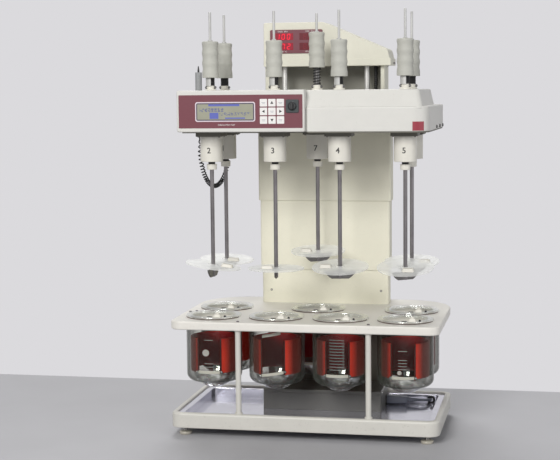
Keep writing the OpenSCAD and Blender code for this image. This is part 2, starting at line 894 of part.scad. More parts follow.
// Paddle: blade with its boss, shaft, a thinner rod through the grip, and its nut
module paddle(i) {
  up = lifted[i] * grip_lift;
  shoulder = grip_rest_z + grip_well_h - 2 * fit;
  edge = [for (s = [0 : blade_steps]) [blade_half(blade_h * s / blade_steps), blade_h * s / blade_steps]];
  back = [for (s = [blade_steps : -1 : 0]) [-blade_half(blade_h * s / blade_steps), blade_h * s / blade_steps]];
  color("slategray") translate(station_at(i) + [0, 0, up]) {
    translate([0, 0, paddle_z]) rotate([0, 0, blade_turn[i]]) rotate([90, 0, 0])
      linear_extrude(blade_t, center = true) polygon(concat(edge, back));
    translate([0, 0, paddle_z]) cylinder(d = shaft_d, h = shoulder - paddle_z);
    translate([0, 0, paddle_z + blade_h - cut]) cylinder(d = boss_d, h = boss_h(i) + cut);
    translate([0, 0, paddle_z]) cylinder(d = rod_d, h = rod_top - up - paddle_z);
    translate([0, 0, grip_rest_z + grip_h + fit]) cylinder(d = rod_nut_d, h = rod_nut_h);
  }
}

// Height of a cover's middle: clear of the blade at any turn
function cover_tilt(i) = norm([cover_tilt_x[i], cover_tilt_y[i]]);
function cover_z(i) = paddle_z + lifted[i] * grip_lift + blade_h + blade_top_w / 2 * tan(cover_tilt(i))
  + cover_t / 2 / cos(cover_tilt(i)) + cover_play;

// Clear cover with a stopper
module cover(i) {
  color("lightcyan", 0.6) translate(station_at(i) + [0, 0, cover_z(i)])
    rotate([cover_tilt_x[i], cover_tilt_y[i], 0]) {
      difference() {
        cylinder(d = cover_d, h = cover_t, center = true);
        cylinder(r = cover_hole_r, h = cover_t + 2 * cut, center = true);
      }
      translate([stopper_x[i], stopper_y[i], cover_t / 2 + fit])
        translate([-stopper_w / 2, -stopper_d / 2, 0]) cube([stopper_w, stopper_d, stopper_h]);
    }
}

// Mains connector with its strain relief
module cord_connector() {
  x0 = box_right + inlet_depth;
  color("slategray") {
    box_between(x0, x0 + connector_l, inlet_y - connector_w / 2, inlet_y + connector_w / 2,
      inlet_z - connector_h / 2, inlet_z + connector_h / 2);
    translate([x0 + connector_l, inlet_y, inlet_z]) rotate([0, 90, 0])
      cylinder(d1 = strain_d, d2 = strain_tip_d, h = strain_l);
  }
}

// Coil: the lead spirals in, climbs over half a turn, spirals out again, and leaves a quarter turn later
coil_last = 2 * coil_turns + coil_exit;
function coil_radius(t) = coil_out_r - coil_step * (t < coil_turns ? t : 2 * coil_turns - t);
function coil_rise(t) = max(0, min(1, (t - coil_turns + coil_climb / 2) / coil_climb));
function coil_point(t) = [
  coil_x + coil_radius(t) * cos(360 * t),
  coil_y + coil_radius(t) * sin(360 * t),
  lead_bed + coil_step * coil_rise(t)
];
coil_path = concat(
  [coil_point(0) - [0, coil_end, 0]],
  [for (s = [0 : coil_last * coil_steps]) coil_point(s / coil_steps)],
  [coil_point(coil_last) - [coil_end, 0, 0]]
);
module cord_coil() {
  color("slategray") tube(coil_path, [for (p = coil_path) [0, 0, 1]], lead_d / 2 - fit, coil_sides);
}

// Free stretches of the lead: from the connector to the coil, and from the coil to the plug
module mains_cord() {
  tail = [for (s = [0 : 2]) coil_point(coil_last) - [coil_end + plug_tail * s / 2, 0, 0]];
  color("slategray") {
    tube(lead_route, [for (p = lead_route) [0, 0, 1]], lead_d / 2 - fit, lead_sides);
    tube(tail, [for (p = tail) [0, 0, 1]], lead_d / 2 - fit, lead_sides);
  }
}

// Plug at the end of the lead
module mains_plug() {
  end = coil_point(coil_last) - [coil_end + plug_tail, 0, 0];
  color("slategray") {
    box_between(end[0] - plug_l, end[0], end[1] - plug_w / 2, end[1] + plug_w / 2, 0, 2 * end[2]);
    for (s = [-1, 1])
      translate([end[0] - plug_l, end[1] + s * plug_pin_gap / 2, end[2]]) rotate([0, -90, 0])
        cylinder(d = plug_pin_d, h = plug_pin_l);
  }
}

echo(spring_gap = turn_gap(spring_path(spring_height(0)), curl_steps, spring_wire));
echo(curl_gap = turn_gap(curl_path, curl_steps, curl_wire));
echo(coil_gap = turn_gap(coil_path, coil_steps, lead_d));
centred() base_frame();
centred() base_floor();
centred() leveling_feet();
centred() power_box();
centred() power_inlet();
centred() vessel_plate();
centred() support_posts();
centred() tower_base();
centred() tower_channel();
centred() skirt_lower();
centred() tower_cap();
centred() status_display();
centred() guide_rods();
centred() lift_motor();
centred() vessels();
centred() heater_jackets();
centred() outer_jackets();
centred() jacket_ties();
centred() flange_clips();
centred() skirt_middle();
centred() lift_screw();
centred() head_pan();
centred() head_cover();
centred() control_panel();
centred() keypad();
centred() lcd_window();
centred() carriage();
centred() skirt_upper();
centred() spindle_housings();
centred() top_hubs();
centred() grip_springs();
centred() drive_motor();
centred() probe_cord();
centred() key_switch();
centred() probe();
centred() grip(0);  // grip_1
centred() grip(1);  // grip_2
centred() grip(2);  // grip_3
centred() grip(3);  // grip_4
centred() grip(4);  // grip_5
centred() grip(5);  // grip_6
centred() grip(6);  // grip_7
centred() paddle(0);  // paddle_1
centred() paddle(1);  // paddle_2
centred() paddle(2);  // paddle_3
centred() paddle(3);  // paddle_4
centred() paddle(4);  // paddle_5
centred() paddle(5);  // paddle_6
centred() paddle(6);  // paddle_7
centred() cover(0);  // cover_1
centred() cover(1);  // cover_2
centred() cover(2);  // cover_3
centred() cover(3);  // cover_4
centred() cover(4);  // cover_5
centred() cover(5);  // cover_6
centred() cover(6);  // cover_7
centred() cord_connector();
centred() mains_cord();
centred() cord_coil();
centred() mains_plug();
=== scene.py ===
# %% [markdown]
# # Dressing a dissolution tester
# The machine lowers seven stirring paddles into seven heated glass vessels. The CAD part gives every
# size and every joint; this lesson adds the rounded edges, the clear plastics, the printed marks and
# the finishes. All lengths are written in millimetres of the maker's layout and become metres once,
# when a mesh is made.

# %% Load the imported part
import math

import bpy
import numpy as np
from mathutils import Euler, Matrix, Vector
from mathutils.geometry import delaunay_2d_cdt


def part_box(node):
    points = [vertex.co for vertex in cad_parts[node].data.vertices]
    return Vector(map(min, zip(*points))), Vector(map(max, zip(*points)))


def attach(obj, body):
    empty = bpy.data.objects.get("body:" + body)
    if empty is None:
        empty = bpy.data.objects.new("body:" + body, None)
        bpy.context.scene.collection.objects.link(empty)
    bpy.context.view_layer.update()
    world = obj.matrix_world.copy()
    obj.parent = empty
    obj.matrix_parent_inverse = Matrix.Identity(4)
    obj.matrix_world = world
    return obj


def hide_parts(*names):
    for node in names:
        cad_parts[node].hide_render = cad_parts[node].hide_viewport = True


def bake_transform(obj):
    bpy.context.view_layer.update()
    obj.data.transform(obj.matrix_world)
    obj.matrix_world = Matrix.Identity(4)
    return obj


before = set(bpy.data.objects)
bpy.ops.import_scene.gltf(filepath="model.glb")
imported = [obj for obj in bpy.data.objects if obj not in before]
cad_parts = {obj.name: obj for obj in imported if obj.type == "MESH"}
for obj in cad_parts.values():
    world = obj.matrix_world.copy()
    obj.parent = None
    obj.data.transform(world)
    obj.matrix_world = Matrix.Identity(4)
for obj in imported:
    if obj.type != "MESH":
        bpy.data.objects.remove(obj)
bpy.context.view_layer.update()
MM, MICROMETRE = 0.001, 0.000001
LAYOUT_TO_ROW = np.array([0.0, -50.0, 0.0])
STATION_NUMBERS, FRONT_STATIONS, REAR_STATIONS, LIFTED_STATION = range(1, 8), (2, 3, 4, 5), (1, 6, 7), 7


def to_row(points):
    """Layout millimetres to row metres: moved by LAYOUT_TO_ROW, then scaled by MM."""
    return (np.asarray(points, float) + LAYOUT_TO_ROW) * MM


def span(node):
    """Lowest and highest corner of a CAD node, in layout millimetres."""
    return [np.array(corner) / MM - LAYOUT_TO_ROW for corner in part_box(node)]


def station(number):
    """Middle of a station in plan, taken from its grip, at height 0."""
    low, high = span(f"grip_{number}")
    return np.array([*(low + high)[:2] / 2, 0.0])


# %% [markdown]
# ## The camera
# A camera is a place, three turns and a focal length. These were solved from the shafts and the
# vessel rims, so that the picture frame of 560 pixels shows the machine as the photograph does. The
# turns become three unit vectors, and these are the columns of the camera's matrix.

# %% Camera
EYE = np.array([594.1, -3301.2, 805.7])
YAW, PITCH, ROLL = 0.2015, 0.0986, -0.0096
FOCAL_PX, PICTURE_W, SENSOR_MM = 1413.68, 560, 36.0

forward = np.array([-math.sin(YAW) * math.cos(PITCH), math.cos(YAW) * math.cos(PITCH), -math.sin(PITCH)])
level = np.array([math.cos(YAW), math.sin(YAW), 0.0])
upright = np.cross(level, forward)
camera_right = math.cos(ROLL) * level + math.sin(ROLL) * upright
camera_up = math.cos(ROLL) * upright - math.sin(ROLL) * level
camera_matrix = np.eye(4)
camera_matrix[:3] = np.column_stack([camera_right, camera_up, -forward, to_row(EYE)])

camera = bpy.data.objects.new("camera", bpy.data.cameras.new("camera"))
camera.data.sensor_width = SENSOR_MM
camera.data.lens = FOCAL_PX * SENSOR_MM / PICTURE_W
camera.data.clip_end = 50
camera.matrix_world = Matrix(camera_matrix.tolist())
bpy.context.scene.collection.objects.link(camera)
bpy.context.scene.camera = camera
print("lens", round(camera.data.lens, 2), "mm")

# %% [markdown]
# ## Shader arithmetic
# A finish is a small graph of nodes. Wiring it by hand is long, so a socket is wrapped in a class that
# answers to Python's operators: writing `1 - mask` adds a Math node. Every other node comes from one
# method that takes its type, its settings and its sockets.

# %% Signal and Finish


class Signal:
    """One output socket; arithmetic on it adds Math nodes to its finish."""

    def __init__(self, finish, socket):
        self.finish, self.socket = finish, socket

    def combine(self, operation, first, second):
        """A Math node of two inputs."""
        return self.finish.node("ShaderNodeMath", {"operation": operation}, {0: first, 1: second})

    def __add__(self, other):
        return self.combine("ADD", self, other)

    def __sub__(self, other):
        return self.combine("SUBTRACT", self, other)

    def __rsub__(self, other):
        return self.combine("SUBTRACT", other, self)

    def __mul__(self, other):
        return self.combine("MULTIPLY", self, other)

    def __truediv__(self, other):
        return self.combine("DIVIDE", self, other)

    def __pow__(self, other):
        return self.combine("POWER", self, other)

    def __mod__(self, other):
        return self.combine("FLOORED_MODULO", self, other)

    def __lt__(self, other):
        return self.combine("LESS_THAN", self, other)

    def __gt__(self, other):
        return self.combine("GREATER_THAN", self, other)

    __radd__, __rmul__ = __add__, __mul__


def srgb(red, green, blue):
    """A screen colour of 0 to 255 as linear light: ((c + 0.055) / 1.055) to the power 2.4."""
    light = ((np.array([red, green, blue]) / 255 + 0.055) / 1.055) ** 2.4
    return (*light.tolist(), 1.0)


def scaled(colour, share):
    """A linear colour with its light times share, at most 1."""
    return tuple(min(1.0, light * share) for light in colour[:3]) + (1.0,)


class Finish:
    """A material with one Principled shader and a graph that feeds it."""

    def __init__(self, name, slot=None, **constants):
        self.slot = slot
        self.material = bpy.data.materials.new(name)
        self.material.use_nodes = True
        self.tree = self.material.node_tree
        self.shader = self.tree.nodes["Principled BSDF"]
        self.output = self.tree.nodes["Material Output"]
        self.set(**constants)
        self.place = self.node("ShaderNodeTexCoord", out="Object")

    def node(self, kind, settings=None, sockets=None, out=0):
        """Adds a node, sets and feeds it, and gives one of its outputs."""
        made = self.tree.nodes.new(kind)
        for key, value in (settings or {}).items():
            setattr(made, key, value)
        for key, value in (sockets or {}).items():
            self.feed(made.inputs[key], value)
        return Signal(self, made.outputs[out])

    def feed(self, socket, value):
        """Links a signal to the socket; anything else becomes the socket's own value."""
        if isinstance(value, Signal):
            self.tree.links.new(value.socket, socket)
        else:
            socket.default_value = value

    def set(self, **sockets):
        """Feeds the Principled shader: Base_Color=... names its socket Base Color."""
        for key, value in sockets.items():
            self.feed(self.shader.inputs[key.replace("_", " ")], value)

    def stretched(self, x, y, z):
        """The object's coordinates, scaled on each axis."""
        return self.node("ShaderNodeMapping", None, {"Vector": self.place, "Scale": (x, y, z)})

    def maths(self, operation, value):
        """A Math node of one input, such as SINE."""
        return self.node("ShaderNodeMath", {"operation": operation}, {0: value})

    def turned_away(self):
        """0 where the surface faces the eye, 1 where it is seen edge on."""
        return self.node("ShaderNodeLayerWeight", None, {"Blend": 0.5}, out="Facing")

    def noise(self, scale, detail=2.0, where=None):
        """Cloudy noise from 0 to 1 in the object's coordinates, or in those given."""
        sockets = {"Vector": where or self.place, "Scale": scale, "Detail": detail}
        return self.node("ShaderNodeTexNoise", None, sockets)

    def axes(self):
        """The object's X, Y and Z as three signals."""
        split = self.node("ShaderNodeSeparateXYZ", None, {0: self.place})
        return [Signal(self, socket) for socket in split.socket.node.outputs]

    def mix(self, factor, first, second):
        """Colour mix: first at factor 0, second at factor 1."""
        return self.node("ShaderNodeMix", {"data_type": "RGBA"}, {0: factor, 6: first, 7: second}, out=2)

    def ramp(self, factor, low, high):
        """Factor spread from low..high to 0..1, and clamped."""
        sockets = {"Value": factor, "From Min": low, "From Max": high}
        return self.node("ShaderNodeMapRange", {"clamp": True}, sockets)

    def bump(self, height, depth, strength=1.0):
        """Normal of a height signal, where a height of 1 stands depth metres proud."""
        sockets = {"Height": height, "Distance": depth, "Strength": strength}
        self.set(Normal=self.node("ShaderNodeBump", None, sockets))

    def see_through(self, factor, tint):
        """Shows the shader by factor, and what is behind it, tinted, elsewhere."""
        clear = self.node("ShaderNodeBsdfTransparent", None, {"Color": tint})
        shader = Signal(self, self.shader.outputs[0])
        both = self.node("ShaderNodeMixShader", None, {0: factor, 1: clear, 2: shader})
        self.tree.links.new(both.socket, self.output.inputs["Surface"])


print("shader tools ready")

# %% [markdown]
# ## Finishes of paint and plastic
# Sheet metal on such a machine is powder coated: the colour drifts a little, the surface has a fine
# orange peel, and handling leaves duller patches. Moulded plastic has a finer grain. One function
# draws all of them from Object coordinates, so the pattern has a real scale in metres.

# %% Coated surfaces


def coated(name, slot, colour, rough, grain=700.0, peel=40, drift=0.05, grime=0.0):
    """Paint or moulding: a colour that drifts, with specks of grime and an orange peel in micrometres."""
    colour = srgb(*colour)
    finish = Finish(name, slot)
    cloud = finish.noise(5.0, 3.0)
    rub = finish.noise(38.0, 4.0)
    specks = finish.ramp(finish.noise(210.0, 3.0), 0.62, 0.74)
    patchy = finish.ramp(cloud * 0.65 + rub * 0.35, 0.35, 0.7)
    even = finish.mix(patchy, scaled(colour, 1 - 3 * drift), colour)
    finish.set(Base_Color=finish.mix(specks * grime, even, scaled(colour, 0.45)))
    finish.set(Roughness=rough - 0.08 + 0.16 * rub)
    finish.bump(finish.noise(grain, 2.0), peel * MICROMETRE)
    return finish


CREAM_COLOUR = (226, 224, 209)
CREAM = coated("cream_powder_coat", "cream_paint", CREAM_COLOUR, 0.48, drift=0.03, grime=0.12)
# The skirts get a brighter copy of the cream coat: painted light on the middle of the tower.
SKIRT_CREAM_PAINTED_LIGHT = coated("skirt_coat_painted_light", "cream_paint", (242, 239, 220), 0.5, drift=0.02, grime=0.1)
HEAD_WHITE = coated(
    "head_white_shell", "head_paint", (218, 217, 212), 0.42, grain=1100.0, drift=0.02, grime=0.1
)
PLATE_WHITE = coated("plate_enamel", "white_paint", (236, 233, 226), 0.4, drift=0.03, grime=0.2)
RIM_WHITE = coated("rim_enamel", "white_paint", (214, 212, 205), 0.42, drift=0.03, grime=0.22)
NYLON = coated("housing_nylon", "white_plastic", (230, 227, 217), 0.34, grain=1500.0, peel=20, drift=0.02)
WHITE_RUBBER = coated(
    "stopper_silicone", "white_plastic", (235, 232, 222), 0.5, peel=60, drift=0.03, grime=0.1
)
GREY_RUBBER = coated(
    "grip_rubber", "grip_grey", (192, 192, 184), 0.62, grain=1300.0, peel=80, drift=0.04, grime=0.15
)
DARK_BOX = coated("power_box_paint", "dark_paint", (92, 91, 87), 0.36, drift=0.06, grime=0.2)
# Dark grey of the head's underside and the tower foot: partly their grey coat, partly painted shade under the
# head and the plate.
PAN_GREY_AND_SHADE = coated("underside_grey_and_painted_shade", "dark_paint", (104, 102, 92), 0.5, drift=0.05, grime=0.2)
BLACK = coated("black_moulding", "black_plastic", (34, 34, 36), 0.42, grain=1800.0, peel=50, drift=0.06)
PROBE_GREY = coated("probe_moulding", "probe_grey", (150, 152, 154), 0.45, grain=1600.0, drift=0.04)
BLACK_RUBBER = coated("black_rubber", "curl_rubber", (36, 35, 37), 0.55, grain=1500.0, peel=100, drift=0.08)
LEAD_PVC = coated("lead_sleeve", "lead_rubber", (96, 100, 112), 0.45, grain=1200.0, peel=50, drift=0.05)
MAROON = coated("panel_overlay_film", "maroon_window", (112, 54, 65), 0.5, grain=2200.0, peel=30, drift=0.02)
KEY_WHITE = coated("key_film", "white_plastic", (238, 236, 234), 0.36, grain=2400.0, peel=20, drift=0.02)
INK_BLACK = coated("black_print", "black_plastic", (38, 36, 36), 0.5, grain=2600.0, peel=10, drift=0.04)
INK_GREY = coated("grey_print", "white_plastic", (176, 178, 184), 0.5, grain=2600.0, peel=10, drift=0.04)
LABEL_RED = coated("label_film", "maroon_window", (154, 58, 70), 0.4, grain=2200.0, peel=30, drift=0.02)
LCD_RIM = coated("display_rim", "white_plastic", (226, 214, 222), 0.4, grain=2200.0, peel=20, drift=0.02)
LCD_SURROUND = coated(
    "display_surround", "black_plastic", (74, 66, 84), 0.4, grain=2200.0, peel=20, drift=0.03
)
SWITCH_GREY = coated(
    "switch_plate_moulding", "black_plastic", (48, 55, 57), 0.42, grain=1800.0, peel=50, drift=0.05
)
INK_WHITE = coated("white_print", "white_plastic", (214, 206, 204), 0.5, grain=2600.0, peel=10, drift=0.05)
print("coated finishes", len(bpy.data.materials))

# %% [markdown]
# ## Metals
# The shafts are ground along their length and have dulled to a dark grey; the guide rods
# and screws are brighter. Stretching the noise along Z draws fine lines round or along the part, and the same
# lines vary the roughness, so a highlight breaks up as it does on worked steel.

# %% Worked metals
LINE_DEPTH = 20


def worked_metal(name, slot, colour, rough, along=(500.0, 500.0, 9.0), stain=0.25, metallic=1.0):
    """Metal with drawn lines: noise stretched by along; stains darken it in soft patches."""
    colour = srgb(*colour)
    finish = Finish(name, slot, Metallic=metallic)
    lines = finish.noise(1.0, 3.0, finish.stretched(*along))
    patches = finish.ramp(finish.noise(24.0, 4.0), 0.45, 0.75)
    dull, bright = scaled(colour, 1 - stain), scaled(colour, 1 + 0.35 * stain)
    finish.set(Base_Color=finish.mix(patches, finish.mix(lines, dull, bright), dull))
    finish.set(Roughness=rough - 0.06 + 0.12 * lines + 0.1 * patches)
    finish.bump(lines, LINE_DEPTH * MICROMETRE)
    return finish


SHAFT_STEEL = worked_metal("dulled_shaft_steel", "steel", (142, 138, 139), 0.34, stain=0.4)
BRIGHT_STEEL = worked_metal("bright_steel", "steel", (206, 205, 204), 0.2)
ROD_STEEL = worked_metal("guide_rod_steel", "steel", (228, 227, 223), 0.4, metallic=0.55)
PALE_ROD = worked_metal("matte_rod_steel", "steel", (196, 196, 194), 0.5, stain=0.15, metallic=0.3)
KNOB_STEEL = worked_metal("pin_knob_steel", "steel", (120, 119, 118), 0.36, stain=0.3)
FOOT_STEEL = worked_metal("foot_plating", "steel", (206, 201, 187), 0.34, (40.0, 40.0, 300.0), 0.2, 0.4)
PADDLE_METAL = worked_metal("paddle_coating", "steel", (120, 118, 117), 0.46, (60.0, 60.0, 60.0), 0.3, 0.7)
FLOOR_STEEL = worked_metal(
    "polished_floor_pan", "pan_steel", (216, 216, 225), 0.13, (8.0, 30.0, 8.0), 0.05, 0.85
)
CARRIAGE_ALLOY = worked_metal("carriage_alloy", "carriage_metal", (176, 176, 176), 0.35, (9.0, 400.0, 400.0))
SPRING_BLACK = worked_metal(
    "oxide_spring_wire", "spring_steel", (34, 33, 34), 0.5, (300.0, 300.0, 300.0), 0.3, 0.2
)
PIN_BRASS = worked_metal("plug_pin_plating", "steel", (214, 202, 166), 0.26, (9.0, 500.0, 500.0))
print("metal finishes", len(bpy.data.materials))

# %% [markdown]
# ## Clear and coloured pieces
# Thin clear walls show mostly what is behind them, and turn milky towards their edges, where the eye
# looks along the wall. Mixing a Transparent shader with the surface by Layer Weight gives that, and
# the light still reaches the vessels. The heaters are silicone sheets with a pressed weave.

# %% Clear walls, heater silicone and displays
BOWL_Z, BOWL_FADE, MOUTH_Z, MOUTH_FADE = 152.0, 25.0, 272.0, 6.0
STATION_STEP, WEAVE, WEAVE_DEPTH, WALL_WAVE = 152.4 * MM, 3200.0, 50, 200
LCD_CELLS, LCD_COLUMNS, LCD_ROWS = 17.0, 68.0, 22.0


def clear_wall(name, slot, colour, body, edge, power, rough, through=0.985, haze=0.01, mirror=0.0, bowl=0.0):
    """Share shown = body + edge * away^power + haze * noise, and more by bowl low down, as painted glints,
    and at the mouth, as a painted sheen.
    """
    finish = Finish(name, slot, Base_Color=srgb(*colour), Roughness=rough, Metallic=mirror, IOR=1.47)
    height = finish.axes()[2]
    away = finish.turned_away()
    smears = finish.ramp(finish.noise(26.0, 5.0), 0.45, 0.8)
    low = finish.ramp(height, BOWL_Z * MM, (BOWL_Z - BOWL_FADE) * MM)
    # Painted reflections: noisy glints on the bowl and a brighter band at the mouth.
    painted_glints = 0.35 + 0.65 * finish.ramp(finish.noise(42.0, 3.0), 0.5, 0.6)
    painted_mouth_sheen = 0.3 * finish.ramp(height, (MOUTH_Z - MOUTH_FADE) * MM, MOUTH_Z * MM)
    shown = body + edge * away**power + haze * smears + bowl * (low * painted_glints + painted_mouth_sheen)
    finish.bump(finish.noise(40.0, 2.0), WALL_WAVE * MICROMETRE, 0.4)
    finish.see_through(finish.ramp(shown, 0.0, 1.0), (through, through, 0.99 * through, 1.0))
    return finish


GLASS = clear_wall(
    "vessel_glass", "vessel_glass", (236, 239, 237), 0.012, 0.5, 4.0, 0.05, mirror=1.0, bowl=0.75
)
# The jackets' dark grey edges are partly the acrylic's own tint seen along the wall, partly painted shade.
JACKET_TINT_AND_SHADE = clear_wall("jacket_acrylic_tint_and_shade", "clear_plastic", (88, 92, 84), 0.02, 0.72, 1.5, 0.1, 0.96)
COVER_CLEAR_PAINTED_GLOW = clear_wall("cover_acrylic_painted_glow", "clear_plastic", (244, 245, 244), 0.2, 0.6, 3.4, 0.4, haze=0.16)
# The covers' faint white emission is painted light.
COVER_CLEAR_PAINTED_GLOW.set(Emission_Color=srgb(236, 238, 238), Emission_Strength=0.14)
FLANGE_EDGE_SHADE = clear_wall("flange_edge_painted_shade", "vessel_glass", (92, 62, 58), 0.55, 0.4, 1.0, 0.12)


def heater_silicone():
    """Orange-red sheet: two crossed sine waves as weave, darker where it is cooked; painted shade where it
    turns away and towards the sides of each station, and a faint painted glow.
    """
    # The sheet's faint red emission is a painted glow.
    glow = srgb(206, 36, 18)
    finish = Finish(
        "heater_silicone", "heater_red", Roughness=0.42, Emission_Color=glow, Emission_Strength=0.1
    )
    x, y, z = finish.axes()
    turn, rise = finish.maths("SINE", (x + y) * WEAVE), finish.maths("SINE", z * WEAVE)
    cooked = finish.ramp(finish.noise(14.0, 3.0), 0.3, 0.75)
    # Painted shade: the sheet is darkened where it turns from the eye and towards the sides of each station.
    painted_shade_offset = finish.maths("ABSOLUTE", (x + 2 * STATION_STEP) % STATION_STEP - STATION_STEP / 2)
    away = finish.ramp(0.6 * finish.turned_away() + 7.1 * painted_shade_offset, 0.3, 0.5)
    sheet = finish.mix(cooked, srgb(228, 56, 28), srgb(198, 42, 24))
    finish.set(Base_Color=finish.mix(away, sheet, srgb(54, 20, 16)))
    finish.bump(turn * rise, WEAVE_DEPTH * MICROMETRE)
    return finish


def liquid_crystal(middle_x, middle_z, width, height):
    """Grey-green display: a blue heading bar, two rows of blocky marks, a blue block and a foot bar."""
    finish = Finish("liquid_crystal_display", "display_glass", Roughness=0.18, Coat_Weight=0.4)
    x, _, z = finish.axes()
    across = (x - (middle_x - width / 2) * MM) / (width * MM)
    up = (z - (middle_z - height / 2) * MM) / (height * MM)
    cell = finish.maths("FRACT", across * LCD_CELLS)
    column = across * LCD_COLUMNS - (across * LCD_COLUMNS) % 1.0
    floor = up * LCD_ROWS - (up * LCD_ROWS) % 1.0
    mark = finish.node("ShaderNodeTexWhiteNoise", {"noise_dimensions": "1D"}, {"W": column + 97.0 * floor})
    heading = (up > 0.86) * (across > 0.2) * (across < 0.76)
    row = (up > 0.5) * (up < 0.73) * (across > 0.04) * (across < 0.47) * (cell > 0.25) * (mark > 0.3)
    block = (up > 0.06) * (up < 0.45) * (across > 0.22) * (across < 0.38)
    foot = (up > 0.06) * (up < 0.14) * (across > 0.5) * (across < 0.86)
    line = (up > 0.27) * (up < 0.46) * (across > 0.4) * (across < 0.96) * (cell > 0.25) * (mark > 0.5)
    glow = finish.noise(30.0, 2.0)
    ground = finish.mix(glow, srgb(150, 150, 132), srgb(168, 168, 150))
    inked = finish.mix(finish.ramp(row + line, 0.0, 1.6), ground, srgb(60, 74, 150))
    bars = finish.ramp(heading + block + foot, 0.0, 1.3)
    finish.set(Base_Color=finish.mix(bars, inked, srgb(66, 84, 196)))
    return finish


def lit_red(name, colour, strength):
    """Red display surface: its own light is the same all over, its body colour has a fine grain."""
    colour = srgb(*colour)
    finish = Finish(name, "maroon_window", Roughness=0.22, Emission_Color=colour, Emission_Strength=strength)
    finish.set(Base_Color=finish.mix(finish.noise(900.0), colour, scaled(colour, 0.6)))
    return finish


HEATER = heater_silicone()
HEATER_HEM = coated("heater_hem", "heater_red", (70, 22, 18), 0.5, drift=0.06)
HEATER_LINER_PAINTED_GLOW = coated("heater_liner_painted_glow", "heater_red", (190, 34, 40), 0.5, drift=0.08)
# The liner's red emission is a painted glow on the inner side of the sheet.
HEATER_LINER_PAINTED_GLOW.set(Emission_Color=srgb(150, 16, 30), Emission_Strength=0.05)
LED_WINDOW = lit_red("red_window", (104, 22, 34), 0.12)
LED_GLOW = lit_red("lit_window", (138, 14, 38), 0.4)
LED_LIT = lit_red("lit_segment", (232, 26, 52), 1.0)
LED_DIM = lit_red("unlit_segment", (134, 30, 44), 0.1)
print("all finishes", len(bpy.data.materials))

# %% [markdown]
# ## Surfaces from two parameters
# Every new piece is a grid of points P(u, v). A lathe turns a profile round an axis, a prism carries an
# outline upward with rounded edges, and a tube carries a circle along a path. Numpy works out all the
# points at once; the faces of a grid are the same pattern of quads each time.

# %% Grids, outlines and shapes
AXIS_R = 0.1


def grid_faces(rows, columns, wrap_rows=False):
    """Quads of a grid numbered row by row, whose columns close on themselves."""
    row, column = np.meshgrid(np.arange(rows if wrap_rows else rows - 1), np.arange(columns), indexing="ij")
    below, beside = (row + 1) % rows * columns, (column + 1) % columns
    quads = [row * columns + column, row * columns + beside, below + beside, below + column]
    return np.stack(quads, -1).reshape(-1, 4)


def unit(vectors):
    """Vectors divided by their length."""
    return vectors / np.linalg.norm(vectors, axis=-1, keepdims=True)


def left_of(directions):
    """Each plane direction turned a quarter turn to the left: (x, y) to (-y, x)."""
    return np.stack([-directions[..., 1], directions[..., 0]], -1)


def rounded(corners, radii, steps=6):
    """Closed outline with arcs for corners: an arc starts r * tan(turn / 2) before its corner."""
    corners = np.asarray(corners, float)
    radius = np.broadcast_to(np.asarray(radii, float), len(corners))[:, None]
    ahead = unit(np.roll(corners, -1, 0) - corners)
    behind = np.roll(ahead, 1, 0)
    turn = np.arctan2((left_of(behind) * ahead).sum(1), (behind * ahead).sum(1))[:, None]
    start = corners - behind * radius * np.tan(np.abs(turn) / 2)
    spoke = -left_of(behind) * np.sign(turn) * radius
    angle = turn[:, None] * np.linspace(0, 1, steps + 1)[None, :, None]
    arcs = spoke[:, None] * np.cos(angle) + left_of(spoke)[:, None] * np.sin(angle)
    return ((start - spoke)[:, None] + arcs).reshape(-1, 2)


def soft_profile(corners, radii, steps=5):
    """Open profile with its inner corners rounded as above; its two ends stay where they are."""
    corners = np.asarray(corners, float)
    inner_radii = np.broadcast_to(radii, len(corners) - 2)
    loop = rounded(corners, np.concatenate([[0.0], inner_radii, [0.0]]), steps)
    return np.concatenate([corners[:1], loop[steps + 1 : -steps - 1], corners[-1:]])


def rectangle(x0, x1, y0, y1):
    """Four corners, counterclockwise; as a profile it is a ring between two radii and two heights."""
    return [(x0, y0), (x1, y0), (x1, y1), (x0, y1)]


def box_outline(node, radius, axes=(0, 1)):
    """Rounded rectangle round a CAD node, seen along the axis that is left out."""
    (u0, v0), (u1, v1) = (corner[list(axes)] for corner in span(node))
    return rounded(rectangle(u0, u1, v0, v1), radius)


def round_bar(radius, low, high, edge):
    """Profile of a solid round bar with softened ends."""
    return soft_profile([(AXIS_R, low), (radius, low), (radius, high), (AXIS_R, high)], edge)


def hexagon(radius, corner):
    """Outline of a nut: corners at every sixth of a turn."""
    angle = np.arange(6) * math.pi / 3
    return rounded(radius * np.stack([np.cos(angle), np.sin(angle)], -1), corner)


def drawn_in(outline):
    """Step that moves each outline point inward so that its edges move by one: n / (n . edge normal)."""
    ahead = left_of(unit(np.roll(outline, -1, 0) - outline))
    middle = unit(ahead + np.roll(ahead, 1, 0))
    return middle / (middle * ahead).sum(1, keepdims=True)


def edge_rows(low, high, low_edge, high_edge, steps=4):
    """Inset and height of each row of a wall with quarter-round edges: e (1 - sin a), e (1 - cos a)."""
    angle = np.linspace(0, math.pi / 2, steps + 1)
    draw, rise = 1 - np.sin(angle), 1 - np.cos(angle)
    inset = np.concatenate([low_edge * draw, high_edge * draw[::-1]])
    return inset, np.concatenate([low + low_edge * rise, high - high_edge * rise[::-1]])


def walls(outline, low, high, low_edge, high_edge, top_outline=None):
    """Grid of wall points: the outline drawn in by each row's inset; a top outline tapers it."""
    inset, height = edge_rows(low, high, low_edge, high_edge)
    half = len(inset) // 2
    top = outline if top_outline is None else top_outline
    lower = outline + drawn_in(outline) * inset[:half, None, None]
    upper = top + drawn_in(top) * inset[half:, None, None]
    plan = np.concatenate([lower, upper])
    tall = np.broadcast_to(height[:, None, None], (*plan.shape[:2], 1))
    return np.concatenate([plan, tall], -1)


